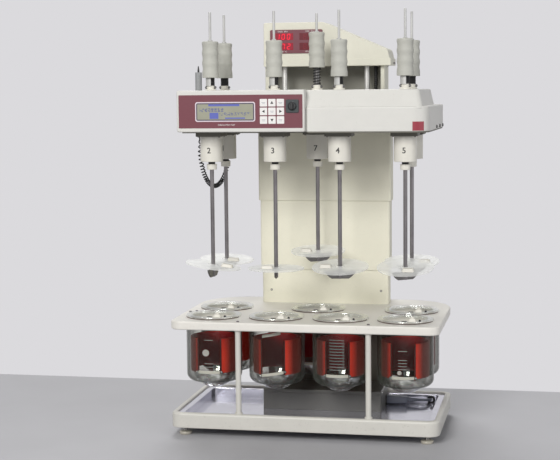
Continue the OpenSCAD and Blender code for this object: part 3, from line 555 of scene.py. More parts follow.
def facing(points, way):
    """Local (u, v, w) with w turned to the way named: front is -Y, right is +X and up is +Z."""
    u, v, w = np.moveaxis(np.asarray(points, float), -1, 0)
    ways = {
        "up": (u, v, w), "down": (u, -v, -w), "front": (u, -w, v),
        "back": (-u, w, v), "right": (w, u, v), "left": (-w, -u, v),
    }
    return np.stack(ways[way], -1)


def turned(x=0.0, y=0.0, z=0.0):
    """Rotation matrix for turns in degrees about X, then Y, then Z."""
    return np.array(Euler(np.radians([x, y, z]).tolist(), "XYZ").to_matrix())


class Shell:
    """Gathers surfaces of one piece, in layout millimetres."""

    def __init__(self, turn=np.eye(3), move=(0, 0, 0)):
        """All that is added is turned by a matrix and then moved."""
        self.points, self.faces, self.paints, self.count = [], [], [], 0
        self.turn, self.move = turn, np.asarray(move, float)

    def add(self, points, faces, paint=0):
        """Takes up points and faces; paint is the number of their finish."""
        points = np.asarray(points, float).reshape(-1, 3) @ self.turn.T + self.move
        self.faces += (np.asarray(faces) + self.count).tolist()
        self.paints += [paint] * len(faces)
        self.points.append(points)
        self.count += len(points)

    def grid(self, points, paint=0, wrap_rows=False, capped=True):
        """A grid with closed columns; its first and last row are filled in unless its rows close too."""
        rows, columns = points.shape[:2]
        start = self.count
        self.add(points, grid_faces(rows, columns, wrap_rows), paint)
        if capped and not wrap_rows:
            first, last = np.arange(columns)[::-1], np.arange(columns) + (rows - 1) * columns
            self.faces += [(first + start).tolist(), (last + start).tolist()]
            self.paints += [paint, paint]

    def lathe(self, profile, at=(0, 0, 0), way="up", paint=0, closed=False, steps=48):
        """Turned piece: (r cos a, r sin a, z) for each (r, z) of the profile, moved to at."""
        profile = np.asarray(profile, float)
        angle = np.linspace(0, 2 * math.pi, steps, endpoint=False)
        ring = np.stack([np.cos(angle), np.sin(angle)], -1)
        points = np.concatenate([profile[:, None, :1] * ring, np.repeat(profile[:, None, 1:], steps, 1)], -1)
        self.grid(facing(points, way) + np.asarray(at, float), paint, closed)

    def prism(self, outline, low, high, edge=1.0, paint=0, way="up", at=(0, 0, 0), top_edge=None, top=None):
        """Solid on a closed outline between two heights, with rounded edges."""
        top_edge = edge if top_edge is None else top_edge
        points = walls(np.asarray(outline, float), low, high, edge, top_edge, top)
        self.grid(facing(points, way) + np.asarray(at, float), paint)

    def tube(self, path, radius, up, sides=12, paint=0):
        """Circle carried along a path: p + r (cos a * u + sin a * v), with u nearest to up."""
        path = np.asarray(path, float)
        along = unit(np.gradient(path, axis=0))
        up = np.broadcast_to(np.asarray(up, float), path.shape)
        side = unit(up - (up * along).sum(1, keepdims=True) * along)
        angle = np.linspace(0, 2 * math.pi, sides, endpoint=False)[None, :, None]
        ring = np.cos(angle) * side[:, None] + np.sin(angle) * np.cross(along, side)[:, None]
        radius = np.broadcast_to(np.asarray(radius, float), len(path))[:, None, None]
        self.grid(path[:, None] + radius * ring, paint)

    def pierced(self, outline, holes, low, high, edge, paint=0):
        """Plate with round holes (x, y, r): a wall for each edge, and triangles between them."""
        angle = np.linspace(0, 2 * math.pi, 64, endpoint=False)[:, None]
        circle = np.hstack([np.cos(-angle), np.sin(-angle)])
        rings = [np.array(hole[:2]) + hole[2] * circle for hole in holes]
        sides = [walls(np.asarray(loop, float), low, high, edge, edge) for loop in [outline, *rings]]
        for side in sides:
            self.grid(side, paint, capped=False)
        for row, order in ((0, -1), (-1, 1)):
            loops = [side[row] for side in sides]
            flat = np.concatenate(loops)
            starts = np.cumsum([0] + [len(loop) for loop in loops[:-1]])
            rounds = [np.arange(len(loop)) for loop in loops]
            ties = [s + np.stack([i, (i + 1) % len(i)], 1) for s, i in zip(starts, rounds)]
            made = delaunay_2d_cdt(flat[:, :2].tolist(), np.concatenate(ties).tolist(), [], 1, 1e-6)
            flat_points = np.array([tuple(p) for p in made[0]])
            triangles = np.array(made[2])
            middle = flat_points[triangles].mean(1)
            apart = [np.hypot(*(middle - hole[:2]).T) > hole[2] for hole in holes]
            solid = triangles[np.all(apart, 0)]
            tall = np.full((len(flat_points), 1), flat[0, 2])
            self.add(np.hstack([flat_points, tall]), solid[:, ::order], paint)

    def make(self, name, body, finishes, replaces=(), smooth=38.0, weighted=True):
        """Puts the gathered surfaces into a mesh object at the origin, riding on a CAD body."""
        mesh = bpy.data.meshes.new(name)
        mesh.from_pydata(to_row(np.concatenate(self.points)).tolist(), [], self.faces)
        mesh.polygons.foreach_set("material_index", self.paints)
        for finish in finishes:
            mesh.materials.append(finish.material)
        mesh.shade_smooth()
        mesh.set_sharp_from_angle(angle=math.radians(smooth))
        made = bpy.data.objects.new(name, mesh)
        bpy.context.scene.collection.objects.link(made)
        if weighted:
            made.modifiers.new("even_shading", "WEIGHTED_NORMAL").keep_sharp = True
        if body:
            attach(made, body)
        if replaces:
            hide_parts(*replaces)
        return made


def middle_of(node):
    """Middle of a CAD node's box."""
    return np.mean(span(node), 0)


def dress(node, finish):
    """A finish on a CAD node that keeps its own mesh."""
    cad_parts[node].data.materials.clear()
    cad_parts[node].data.materials.append(finish.material)


def upright_pair(name, node, radius, profile, finish):
    """Two like turned pieces, standing at the left and right end of a CAD node's box."""
    low, high = span(node)
    shell = Shell()
    for x in (low[0] + radius, high[0] - radius):
        shell.lathe(profile, (x, (low[1] + high[1]) / 2, low[2]), steps=32)
    shell.make(name, "frame", [finish], [node])


print("shape tools ready")

# %% [markdown]
# ## The mains lead
# Cords are the first pieces, because the others have to leave them room. The lead leaves the
# power box by a moulded connector, lies along the floor pan, goes out through the rear bar, and its spare
# length is wound in a flat coil of two layers behind the machine. The route is a list of points joined by
# a smooth curve; the coil is a spiral, r = r0 - step * turns, in and then out again.

# %% Mains lead
LEAD_D = 7.0
LEAD_ROUTE = np.array([
    (236.5, 118, 44), (246.5, 119, 44), (257, 125, 43), (264, 135, 41), (267, 148, 39), (268, 163, 37),
    (268, 178, 35), (269, 194, 30), (271, 210, 22), (273, 226, 12), (274, 240, 5), (274, 251, 3.6),
    (274, 255, 3.6),
])
COIL_MIDDLE, COIL_RADIUS, COIL_STEP, COIL_TURNS = np.array([222.0, 262.0]), 52.0, LEAD_D + 0.7, 3
COIL_LAST, COIL_POINTS = 2 * COIL_TURNS + 0.25, 32
LEAD_BED = LEAD_D / 2 + 0.1
TAIL_LENGTH = 47.0


def smooth_curve(points, steps=6):
    """Catmull-Rom curve through the points: a cubic on each stretch, with tangents from the neighbours."""
    padded = np.concatenate([2 * points[:1] - points[1:2], points, 2 * points[-1:] - points[-2:-1]])
    before, a, b, after = padded[:-3, None], padded[1:-2, None], padded[2:-1, None], padded[3:, None]
    t = np.linspace(0, 1, steps, endpoint=False)[None, :, None]
    bend, twist = 2 * before - 5 * a + 4 * b - after, 3 * (a - b) + after - before
    cubic = a + 0.5 * t * (b - before + t * (bend + t * twist))
    return np.concatenate([cubic.reshape(-1, 3), points[-1:]])


def coil_line():
    """Spiral in, half a turn of climbing, spiral out; its radius and height follow the turns t."""
    t = np.linspace(0, COIL_LAST, int(COIL_LAST * COIL_POINTS) + 1)
    radius = COIL_RADIUS - COIL_STEP * np.where(t < COIL_TURNS, t, 2 * COIL_TURNS - t)
    height = LEAD_BED + COIL_STEP * np.clip((t - COIL_TURNS + 0.25) / 0.5, 0, 1)
    x, y = COIL_MIDDLE[:, None] + radius * np.array([np.cos(2 * math.pi * t), np.sin(2 * math.pi * t)])
    return np.stack([x, y, height], -1)


def length_of(path):
    """Sum of the distances from point to point."""
    return np.linalg.norm(np.diff(path, axis=0), axis=1).sum()


coil = coil_line()
tail = coil[-1] - np.linspace(0, TAIL_LENGTH, 8)[1:, None] * np.array([1.0, 0.0, 0.0])
lead_path = np.concatenate([smooth_curve(LEAD_ROUTE), coil, tail])
lead_shell = Shell()
lead_shell.tube(lead_path, LEAD_D / 2, (0, 0, 1), sides=16)
lead = lead_shell.make("mains_lead", "frame", [LEAD_PVC], ("mains_cord", "cord_coil"), weighted=False)
print("lead length", round(length_of(lead_path)), "mm")

# %% [markdown]
# ## Connector, plug and tie
# Moulded ends are what makes a lead read as a lead: a body with soft corners, a grip of raised ribs, and a
# tapered strain relief whose rings let it bend. The coil is held by a small strap.

# %% Connector, plug and tie
RIB_STEP, RIB_W = 5.0, 2.4


def relief(length, thick, thin, rings):
    """Profile of a strain relief: a cone from thick to thin whose radius dips at each ring."""
    s = np.linspace(0, 1, rings * 8 + 1)
    radius = thick + (thin - thick) * s - 0.55 * (0.5 - 0.5 * np.cos(2 * math.pi * rings * s)) ** 3
    return np.stack([radius, length * s], -1)


def moulded_end(shell, at, way, width, depth, length, tip_length, ribs=3):
    """Connector body: a prism that narrows towards the lead, raised ribs on it, then the strain relief."""
    outline = rounded(rectangle(-width / 2, width / 2, -depth / 2, depth / 2), 5.0)
    shell.prism(outline, 0, length, 1.2, way=way, at=at, top_edge=3.0, top=outline * 0.82)
    rib = rounded(rectangle(-width / 2 + 1, width / 2 - 1, -depth / 2 - 0.5, depth / 2 + 0.5), 4.0)
    for rib_low in length * 0.45 + RIB_STEP * np.arange(ribs):
        shell.prism(rib * 0.94, rib_low, rib_low + RIB_W, 0.8, way=way, at=at)
    tip = np.asarray(at) + facing([0, 0, length - 1.0], way)
    shell.lathe(relief(tip_length, 6.8, 4.4, 5), tip, way, steps=24)


connector_face = (span("cord_connector")[0][0], *middle_of("cord_connector")[1:])
connector_shell = Shell()
moulded_end(connector_shell, connector_face, "right", 26, 20, 50, 25)
connector = connector_shell.make("mains_connector", "frame", [LEAD_PVC], ["cord_connector"])

plug_end = np.array([span("mains_plug")[1][0], *middle_of("mains_plug")[1:]])
plug_shell = Shell()
PLUG_BODY, PLUG_PIN, PLUG_PIN_GAP = 40.0, 19.0, 19.0
plug_face = plug_end - (PLUG_BODY, 0, 0)
plug_outline = rounded(rectangle(-21, 21, -11.3, 11.3), 6.0)
plug_shell.prism(
    plug_outline, 0, PLUG_BODY - 4, 1.5, way="right", at=plug_face, top_edge=6.0, top=plug_outline * 0.9
)
plug_shell.lathe(relief(30, 6.6, 4.2, 6), plug_end - (6, 0, 0), "right", steps=24)
for side in (-1, 1):
    pin = soft_profile([(2.4, 0), (2.4, PLUG_PIN - 0.2), (1.2, PLUG_PIN)], 1.0)
    plug_shell.lathe(pin, plug_face + (0.4, side * PLUG_PIN_GAP / 2, 0), "left", paint=1, steps=20)
plug = plug_shell.make("mains_plug_moulded", "frame", [LEAD_PVC, PIN_BRASS], ["mains_plug"])

tie_shell = Shell()
TIE_REACH, TIE_TALL, TIE_BROAD, TIE_THICK = 15.8, 16.6, 4.0, 0.8
strap_line = rounded(rectangle(-TIE_REACH, TIE_REACH, 0.05, TIE_TALL), 5.0)
strap = np.stack([strap_line, strap_line + drawn_in(strap_line) * TIE_THICK])
strap_side = np.full((*strap.shape[:2], 1), TIE_BROAD / 2)
near, far = np.concatenate([strap, -strap_side], -1), np.concatenate([strap[::-1], strap_side], -1)
strap_section = np.concatenate([near, far])
TIE_PLACE = (COIL_MIDDLE[0] - 40.3, COIL_MIDDLE[1], 0.0)
tie_shell.grid(facing(strap_section, "front") + TIE_PLACE, wrap_rows=True)
coil_tie = tie_shell.make("coil_tie", "frame", [BLACK], weighted=False)

print("lead pieces made")

# %% [markdown]
# ## The curly cord
# A coiled cord is a helix wound round a hanging line. The line falls from the probe, swings under the head
# and rises to its socket; its depth follows a sine, and the helix is drawn square to it. The first and
# last turns grow out of the ends.

# %% Curly cord
CURL_WIRE, CURL_R, CURLS, CURL_STEPS, CURL_DEPTH = 3.0, 4.5, 40, 16, 128.0
CURL_LOOK, CURL_GROW, CURL_UP = 0.004, 12, unit(np.array([-110.0, 48.0, 0.0]))
probe_low, probe_high = span("probe")
CURL_TOP = np.array([*middle_of("probe")[:2], probe_low[2]])
CURL_SOCKET = np.array([-228.0, 110.0, span("head_pan")[0][2] + 9.0])


def hanging_line(t):
    """Line under the cord: the way across follows (1 - cos) / 2, and the sag follows sin to the power 0.8."""
    across = (1 - np.cos(math.pi * t)) / 2
    line = CURL_TOP + (CURL_SOCKET - CURL_TOP) * np.stack([across, across, t], -1)
    line[:, 2] -= CURL_DEPTH * np.sin(math.pi * np.clip(t, 0, 1)) ** 0.8
    return line


def curl_path():
    """Helix of CURLS turns round the hanging line, whose radius grows over its first and last turns."""
    t = np.linspace(0, 1, CURLS * CURL_STEPS + 1)[1:-1]
    ahead, behind = hanging_line(np.minimum(t + CURL_LOOK, 1)), hanging_line(np.maximum(t - CURL_LOOK, 0))
    way = unit(ahead - behind)
    side = unit(np.array([CURL_TOP[1] - CURL_SOCKET[1], CURL_SOCKET[0] - CURL_TOP[0], 0.0]))
    over = np.cross(way, side)
    grow = np.minimum(1, CURL_GROW * np.minimum(t, 1 - t))[:, None]
    angle = (2 * math.pi * CURLS * t)[:, None]
    helix = hanging_line(t) + CURL_R * grow * (np.cos(angle) * side + np.sin(angle) * over)
    return np.concatenate([[CURL_TOP], helix - (0, 0, CURL_WIRE), [CURL_SOCKET]])


curl_line = curl_path()[::-1]
curl_shell = Shell()
curl_shell.tube(curl_line, CURL_WIRE / 2, CURL_UP, sides=8)
curl = curl_shell.make("probe_curly_cord", None, [BLACK_RUBBER], ["probe_cord"], weighted=False)
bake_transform(curl)
print("curly cord", round(length_of(curl_line)), "mm of wire in", CURLS, "turns")

# %% [markdown]
# ## The base
# The rim is one bar bent round the footprint of the machine. Its section is carried along the
# outline: each section point lies part of the way s from the outer outline to the inner one. The bar has a
# narrow lip and a ledge, where the edge of the polished pan is folded over it. Feet are turned pieces: a
# plated disc, a threaded stud and a locking nut under the bar.

# %% Base rim, tail and feet
BAR_W, RIM_REAR, LIP_W, LEDGE_DROP, PAN_SHEET, PAN_GAP = 28.0, 175.0, 13.0, 5.0, 0.8, 0.3
TAIL_HALF, TAIL_LAP = 165.0, 6.0
rim_low, rim_high = span("base_frame")
rim_x, rim_front = rim_high[0], rim_low[1]


def outline_between(half, front, rear, front_r, rear_r, steps=8):
    """Plan outline with rounded corners, counterclockwise from its front left."""
    return rounded(rectangle(-half, half, front, rear), [front_r, front_r, rear_r, rear_r], steps)


outer = outline_between(rim_x, rim_front, RIM_REAR, 26, 20)
inner = outline_between(rim_x - BAR_W, rim_front + BAR_W, RIM_REAR - BAR_W, 9, 9)


def bar_round(section):
    """Section points (s, z) carried round the base: s = 0 is the outer outline, s = -BAR_W the inner one."""
    share = -section[:, :1, None] / BAR_W
    plan = outer * (1 - share) + inner * share
    return np.concatenate([plan, np.broadcast_to(section[:, 1:, None], (*plan.shape[:2], 1))], -1)


low, high, pan_top = rim_low[2], rim_high[2], span("base_floor")[1][2]
ledge, wall = high - LEDGE_DROP, BAR_W + PAN_SHEET
lip_section = [(0, low), (0, high), (-LIP_W, high), (-LIP_W, ledge), (-BAR_W, ledge), (-BAR_W, low)]
fold, fold_top = -LIP_W - PAN_GAP, ledge + PAN_SHEET
pan_section = [
    (fold, ledge), (fold, fold_top), (-wall, fold_top), (-wall, pan_top), (-BAR_W, pan_top), (-BAR_W, ledge),
]
rim_shell = Shell()
rim_shell.grid(bar_round(rounded(lip_section, [2, 6, 3, 0.5, 1.5, 2])), wrap_rows=True)
rim_shell.grid(bar_round(rounded(pan_section, [0.3, 0.3, 2, 0.2, 0.2, 1.2])), 1, wrap_rows=True)
tail_plan = outline_between(TAIL_HALF, RIM_REAR - TAIL_LAP, rim_high[1], 2, 8)
rim_shell.prism(tail_plan, low, high - 0.4, 2.0, top_edge=4.0)
rim_shell.make("base_rim", "frame", [RIM_WHITE, FLOOR_STEEL], ["base_frame"])

GROMMETS = (((268, RIM_REAR - BAR_W, 39), "front"), ((268, RIM_REAR, 35.3), "back"))
grommet_ring = rounded(rectangle(4.2, 10.5, -2, 1.6), 1.2)
grommet_shell = Shell()
for place, way in GROMMETS:
    grommet_shell.lathe(grommet_ring, place, way, closed=True, steps=32)
grommet_shell.make("lead_grommets", "frame", [BLACK_RUBBER])


def ridged(radius, low, high, pitch, depth):
    """Profile of a screw thread seen from the side: the radius swings by depth once in each pitch."""
    height = np.linspace(low, high, int((high - low) / pitch * 8) + 1)
    return np.stack([radius - depth * (0.5 + 0.5 * np.cos(2 * math.pi * (height - low) / pitch)), height], -1)


FOOT_X, FOOT_FRONT, FOOT_REAR, FOOT_TOP = 285.0, -132.0, 145.0, 20.0
foot_disc = soft_profile([(0.2, 0), (14.2, 0), (15, 6.2), (11, 8), (5.6, 9)], 1.2)
foot_stud = ridged(5.0, 8.5, FOOT_TOP + 0.2, 1.5, 0.7)
nut_plan = hexagon(8.5, 0.8)
feet_shell = Shell()
for foot_x in (-FOOT_X, FOOT_X):
    for foot_y in (FOOT_FRONT, FOOT_REAR):
        feet_shell.lathe(foot_disc, (foot_x, foot_y, 0))
        feet_shell.lathe(foot_stud, (foot_x, foot_y, 0), paint=1, steps=24)
        feet_shell.prism(nut_plan, FOOT_TOP - 5.5, FOOT_TOP, 0.6, 1, at=(foot_x, foot_y, 0))
feet_shell.make("leveling_feet_turned", "frame", [FOOT_STEEL, BRIGHT_STEEL], ["leveling_feet"])
dress("base_floor", FLOOR_STEEL)
print("base made")

# %% [markdown]
# ## Power box
# A folded box with a lid: the lid's seam is a groove, made by drawing the outline in by a millimetre over a
# short height. Screws are turned pieces with a sunk socket.

# %% Power box, inlet and screws


def screw(shell, at, way, d=6.0, paint=0):
    """Pan head: a low dome with a sunk socket in its middle."""
    dome = [(d / 2, -0.5), (d / 2, 0.2 * d), (0.36 * d, 0.36 * d), (0.2 * d, 0.38 * d)]
    socket = [(0.18 * d, 0.16 * d), (0.05, 0.16 * d)]
    shell.lathe(dome + socket, at, way, paint, steps=16)


box_low, box_high = span("power_box")
SEAM_Z, SEAM_DEEP = box_high[2] - 8.0, 0.9
box_plan = box_outline("power_box", 3.0)
box_shell = Shell()
box_shell.prism(box_plan, box_low[2], SEAM_Z - 0.7, 0.6)
box_shell.prism(box_plan + drawn_in(box_plan) * SEAM_DEEP, SEAM_Z - 1.0, SEAM_Z + 1.0, 0.1)
box_shell.prism(box_plan, SEAM_Z + 0.5, box_high[2], 0.5, top_edge=2.5)
lid_screw_z = box_high[2] - 3.8
for screw_y in (box_low[1] + 20, box_high[1] - 20):
    screw(box_shell, (box_high[0], screw_y - 8, lid_screw_z), "right", 4.5, 1)
    screw(box_shell, (box_low[0], screw_y, lid_screw_z), "left", 4.5, 1)
box_shell.make("power_box_folded", "frame", [DARK_BOX, BRIGHT_STEEL], ["power_box"])

inlet_low, inlet_high = span("power_inlet")
inlet_back = (inlet_low[0], *middle_of("power_inlet")[1:])
inlet_shell = Shell()
inlet_plan = rounded(rectangle(-15, 15, -12, 12), 3.0)
inlet_shell.prism(inlet_plan, 0, inlet_high[0] - inlet_low[0], 0.2, way="right", at=inlet_back, top_edge=1.0)
inlet_shell.make("mains_inlet", "frame", [BLACK], ["power_inlet"])
print("power box made")

# %% [markdown]
# ## Vessel plate, posts and tower foot
# The plate has seven holes, so its faces are triangulated between the outline and the rings by Blender's
# Delaunay helper, while each wall is a grid with rounded edges.

# %% Plate, posts and tower foot
plate_low, plate_high = span("vessel_plate")
HOLE_R, PLATE_SCREWS = 56.0, ((-300.0, -18.0), (-288.0, -4.0), (152.4, -147.0), (-152.4, -147.0))
plate_shell = Shell()
plate_outline = outline_between(plate_high[0], plate_low[1], plate_high[1], 26, 120, 14)
plate_holes = [(*station(k)[:2], HOLE_R) for k in STATION_NUMBERS]
plate_shell.pierced(plate_outline, plate_holes, plate_low[2], plate_high[2], 3.5)
plate_shell.make("vessel_plate_enamelled", "frame", [PLATE_WHITE], ["vessel_plate"])

plate_screws = Shell()
for x, y in PLATE_SCREWS:
    screw(plate_screws, (x, y, plate_high[2]), "up", 7.0)
plate_screws.make("plate_screws", "frame", [SHAFT_STEEL])

POST_R, POST_FOOT_R, POST_HEAD_R = 6.5, 9.0, 8.4
post_h = np.ptp(span("support_posts"), 0)[2]
post_foot = [(POST_FOOT_R, -LEDGE_DROP), (POST_FOOT_R, 2.4), (POST_R, 3.2)]
post_head = [(POST_R, post_h - 3), (POST_HEAD_R, post_h - 2.2), (POST_HEAD_R, post_h)]
upright_pair("front_posts", "support_posts", POST_R, soft_profile(post_foot + post_head, 0.7), RIM_WHITE)

foot_low, foot_high = span("tower_base")
tower_foot = Shell()
tower_foot.prism(box_outline("tower_base", 4.0), foot_low[2], foot_high[2], 0.8)
for x in (foot_low[0] + 18, 0, foot_high[0] - 18):
    for z in (foot_low[2] + 16, foot_high[2] - 16):
        screw(tower_foot, (x, foot_high[1], z), "back", 6.0, 1)
tower_foot.make("tower_foot", "frame", [PAN_GREY_AND_SHADE, BRIGHT_STEEL], ["tower_base"])
print("plate and supports made")

# %% [markdown]
# ## Vessels, heaters and jackets
# A vessel is a turned wall: the outer profile runs from the round bottom up to the rim flange, and back down
# inside. Its heater is a sheet bent to a C: a rounded rectangle swept along an arc. The same sweep makes the
# white tie across the window, a dark band of painted shade on the front edge of the flange, and the printed
# lines on the glass.

# %% Vessels, heaters, jackets and ties
RIM_Z, BALL_Z, VESSEL_R, VESSEL_IN, FLANGE_R, FLANGE_T = plate_high[2], 154.5, 53.5, 51.0, 65.5, 6.0


def quarter(radius, centre_z, up):
    """Points of a quarter circle from the axis outward (up) or back to the axis."""
    angle = np.linspace(0.02, math.pi / 2, 16)
    arc = np.stack([radius * np.sin(angle), centre_z - radius * np.cos(angle)], -1)
    return arc if up else arc[::-1]


wall_z, flange_z, flange_top = BALL_Z + 20, RIM_Z + 0.05, RIM_Z + FLANGE_T
rim_outside = [(VESSEL_R, wall_z), (VESSEL_R, flange_z), (FLANGE_R, flange_z)]
rim_inside = [(FLANGE_R, flange_top), (VESSEL_IN, flange_top), (VESSEL_IN, wall_z)]
rim_profile = soft_profile(rim_outside + rim_inside, [1.0, 1.5, 2.2, 2.5])
vessel_profile = np.concatenate([
    quarter(VESSEL_R, BALL_Z, True), rim_profile, quarter(VESSEL_IN, BALL_Z, False),
])
vessel_shell = Shell()
for k in STATION_NUMBERS:
    vessel_shell.lathe(vessel_profile, station(k), steps=64)
vessel_shell.make("glass_vessels", "frame", [GLASS], ["vessels"], weighted=False)


def arc_bar(shell, at, r0, r1, z0, z1, a0, a1, paint=0, edge=0.3, slope=0.0, steps=40):
    """Rounded rectangle r0..r1 by z0..z1 swept from angle a0 to a1; slope lifts it per degree of turn."""
    turn = np.linspace(a0, a1, steps)
    angle = np.radians(turn)[:, None]
    ring = rounded(rectangle(r0, r1, z0, z1), edge, 3)[::-1]
    lift = slope * (turn - (a0 + a1) / 2)[:, None]
    points = np.stack([ring[:, 0] * np.cos(angle), ring[:, 0] * np.sin(angle), ring[:, 1] + lift], -1)
    shell.grid(points + np.asarray(at), paint)


EDGE_FROM, EDGE_TO, EDGE_LOW, EDGE_HIGH = FLANGE_R + 0.05, FLANGE_R + 0.25, RIM_Z + 0.4, RIM_Z + 2.4
# A thin dark red strip on the front half of each flange edge: painted shade.
edge_shade_shell = Shell()
for k in STATION_NUMBERS:
    arc_bar(edge_shade_shell, station(k), EDGE_FROM, EDGE_TO, EDGE_LOW, EDGE_HIGH, -168, -12, 0, 0.08)
edge_shade_shell.make("flange_front_edge_shade", "frame", [FLANGE_EDGE_SHADE])

HEATER_Z, HEATER_TOP = (corner[2] for corner in span("heater_jackets"))
HEATER_IN, HEATER_OUT, WINDOW_HALF, HEM = 54.0, 56.0, 27.7, 3.5
FRONT_TURN = -90.0
heater_shell = Shell()
start, end = FRONT_TURN + WINDOW_HALF, FRONT_TURN + 360 - WINDOW_HALF
sheet = (HEATER_IN, HEATER_OUT, HEATER_Z, HEATER_TOP)
hem_sheet = (HEATER_IN - 0.2, HEATER_OUT + 0.5, HEATER_Z + 0.5, HEATER_TOP - 0.5)
liner = (HEATER_IN - 0.3, HEATER_IN - 0.05, HEATER_Z + 1, HEATER_TOP - 1)
for k in STATION_NUMBERS:
    arc_bar(heater_shell, station(k), *sheet, start, end, steps=72, edge=0.8)
    for hem in (start, end - HEM):
        arc_bar(heater_shell, station(k), *hem_sheet, hem, hem + HEM, 1, steps=6)
    arc_bar(heater_shell, station(k), *liner, start + HEM, end - HEM, 2, 0.1, steps=72)
heater_shell.make("heater_sheets", "frame", [HEATER, HEATER_HEM, HEATER_LINER_PAINTED_GLOW], ["heater_jackets"])

JACKET_R, JACKET_WALL, JACKET_CORNER, JACKET_HOLE = 66.0, 1.8, 18.0, 44.0
jacket_low, jacket_high = span("outer_jackets")


def corner_arc(radius, back):
    """Lower corner of the jacket wall, from the floor up to the side, or back."""
    angle = np.radians(np.linspace(-90, 0, 9))[:: -1 if back else 1]
    middle = (JACKET_R - JACKET_CORNER, jacket_low[2] + JACKET_CORNER)
    return np.stack([middle[0] + radius * np.cos(angle), middle[1] + radius * np.sin(angle)], -1)


jacket_rim = [(JACKET_R, jacket_high[2]), (JACKET_R - JACKET_WALL, jacket_high[2])]
jacket_profile = np.concatenate([
    [(JACKET_HOLE, jacket_low[2])], corner_arc(JACKET_CORNER, False), jacket_rim,
    corner_arc(JACKET_CORNER - JACKET_WALL, True), [(JACKET_HOLE, jacket_low[2] + JACKET_WALL)],
])
jacket_shell = Shell()
for k in STATION_NUMBERS:
    jacket_shell.lathe(jacket_profile, station(k), closed=True, steps=64)
jacket_shell.make("clear_jackets", "frame", [JACKET_TINT_AND_SHADE], ["outer_jackets"], weighted=False)

TIE_Z, TIE_H, TIE_FROM = span("jacket_ties")[0][2], 7.0, HEATER_OUT + 0.6
TIE_TURN, TIE_SLOPES = 26.0, {3: 0.16}
STUD_TURN, STUD_ARC, STUD_R, STUD_LIFT = 30.0, 58.4, 3.2, 33.0
UPPER_TIE_STATION, UPPER_TIE_Z = 3, 236.0
ball_turn = np.linspace(-1.5, 1.5, 9)
ball = np.stack([np.cos(ball_turn), np.sin(ball_turn)], -1)
ties_shell = Shell()
for k in STATION_NUMBERS:
    slope = TIE_SLOPES.get(k, 0.0)
    strip = (TIE_FROM, HEATER_OUT + 3.2, TIE_Z, TIE_Z + TIE_H)
    arc_bar(ties_shell, station(k), *strip, FRONT_TURN - TIE_TURN, FRONT_TURN + TIE_TURN, 0, 1.0, slope)
    for side in (-1, 1):
        turn = math.radians(FRONT_TURN + side * STUD_TURN)
        stud_z = TIE_Z + TIE_H / 2 + slope * side * STUD_LIFT
        stud = (STUD_ARC * math.cos(turn), STUD_ARC * math.sin(turn), stud_z)
        ties_shell.lathe(STUD_R * ball, station(k) + stud, paint=1, steps=20)
upper_strip = (TIE_FROM, HEATER_OUT + 3.0, UPPER_TIE_Z, UPPER_TIE_Z + TIE_H)
arc_bar(ties_shell, station(UPPER_TIE_STATION), *upper_strip, -114, -70, 0, 1.0, 0.2)
ties_shell.make("window_ties", "frame", [WHITE_RUBBER, BRIGHT_STEEL], ["jacket_ties"])

GLASS_FACE, INK_THICK, MARK_Z, MARK_STEP, MARK_COUNT, SCALE_STATION = VESSEL_R + 0.02, 0.12, 160.0, 7.0, 11, 4
PRINT_LINES = {2: (158, 166, 222), 5: (166, 173, 180, 187, 208)}
PRINT_DOTS = ((2, 192, 8.0), (5, 158, 5.0))
marks_shell = Shell()


def printed_line(number, z, thick, a0, a1, steps=40):
    """Thin line of ink on the glass of a station, between two angles."""
    ink = (GLASS_FACE, GLASS_FACE + INK_THICK, z, z + thick)
    arc_bar(marks_shell, station(number), *ink, a0, a1, 0, 0.05, steps=steps)


for mark_z in MARK_Z + MARK_STEP * np.arange(MARK_COUNT):
    printed_line(SCALE_STATION, mark_z, 0.9, -110, -72)
    printed_line(SCALE_STATION, mark_z - MARK_STEP / 2, 0.6, -77, -72, 8)
for k, lines in PRINT_LINES.items():
    for z in lines:
        printed_line(k, z, 1.0, -102, -80)
for k, dot_z, dot_r in PRINT_DOTS:
    dot = [(dot_r, 0.0), (dot_r, 0.3), (AXIS_R, 0.3)]
    marks_shell.lathe(dot, station(k) + (-8, -GLASS_FACE + 1.2, dot_z), "front", steps=32)
marks_shell.make("printed_graduations", "frame", [INK_WHITE])

NYLON_SCREW_Z, NYLON_SCREW_TURN = 153.0, math.radians(-82)
nylon_screws = Shell()
for k in REAR_STATIONS:
    spot = (JACKET_R * math.cos(NYLON_SCREW_TURN), JACKET_R * math.sin(NYLON_SCREW_TURN), NYLON_SCREW_Z)
    screw(nylon_screws, station(k) + spot, "front", 8.0)
nylon_screws.make("jacket_screws", "frame", [NYLON])
print("vessels made")

# %% [markdown]
# ## Flange clips
# A white moulded clip holds the front of each rim: a block with soft corners, a thumb knob on it, a small
# black stop and a dark slot beside it.

# %% Flange clips
CLIP_X, CLIP_Y, CLIP_BASE = 22.0, -55.0, RIM_Z + FLANGE_T + 0.05
clip_plan = rounded(rectangle(-9, 9, -5.5, 5.5), 2.5)
clip_knob = soft_profile([(4.6, 6.5), (4.9, 10.4), (3.6, 12), (AXIS_R, 12)], 1.0)
clip_stop = [(2.6, -0.4), (2.6, 2.6), (1.6, 3.4), (AXIS_R, 3.4)]
clip_slot = rounded(rectangle(-6, 6, -1.8, 1.8), 1.5)
clips_shell = Shell()
for k in STATION_NUMBERS:
    at = station(k) + (CLIP_X, CLIP_Y, CLIP_BASE)
    clips_shell.prism(clip_plan, 0, 7.2, 0.8, at=at, top_edge=2.2, top=clip_plan * (0.8, 0.85))
    clips_shell.lathe(clip_knob, at, steps=24)
    clips_shell.lathe(clip_stop, at + (16, 8.5, 0), paint=1, steps=16)
    clips_shell.prism(clip_slot, -0.3, 1.0, 0.3, 1, at=at + (-19, 2.5, 0))
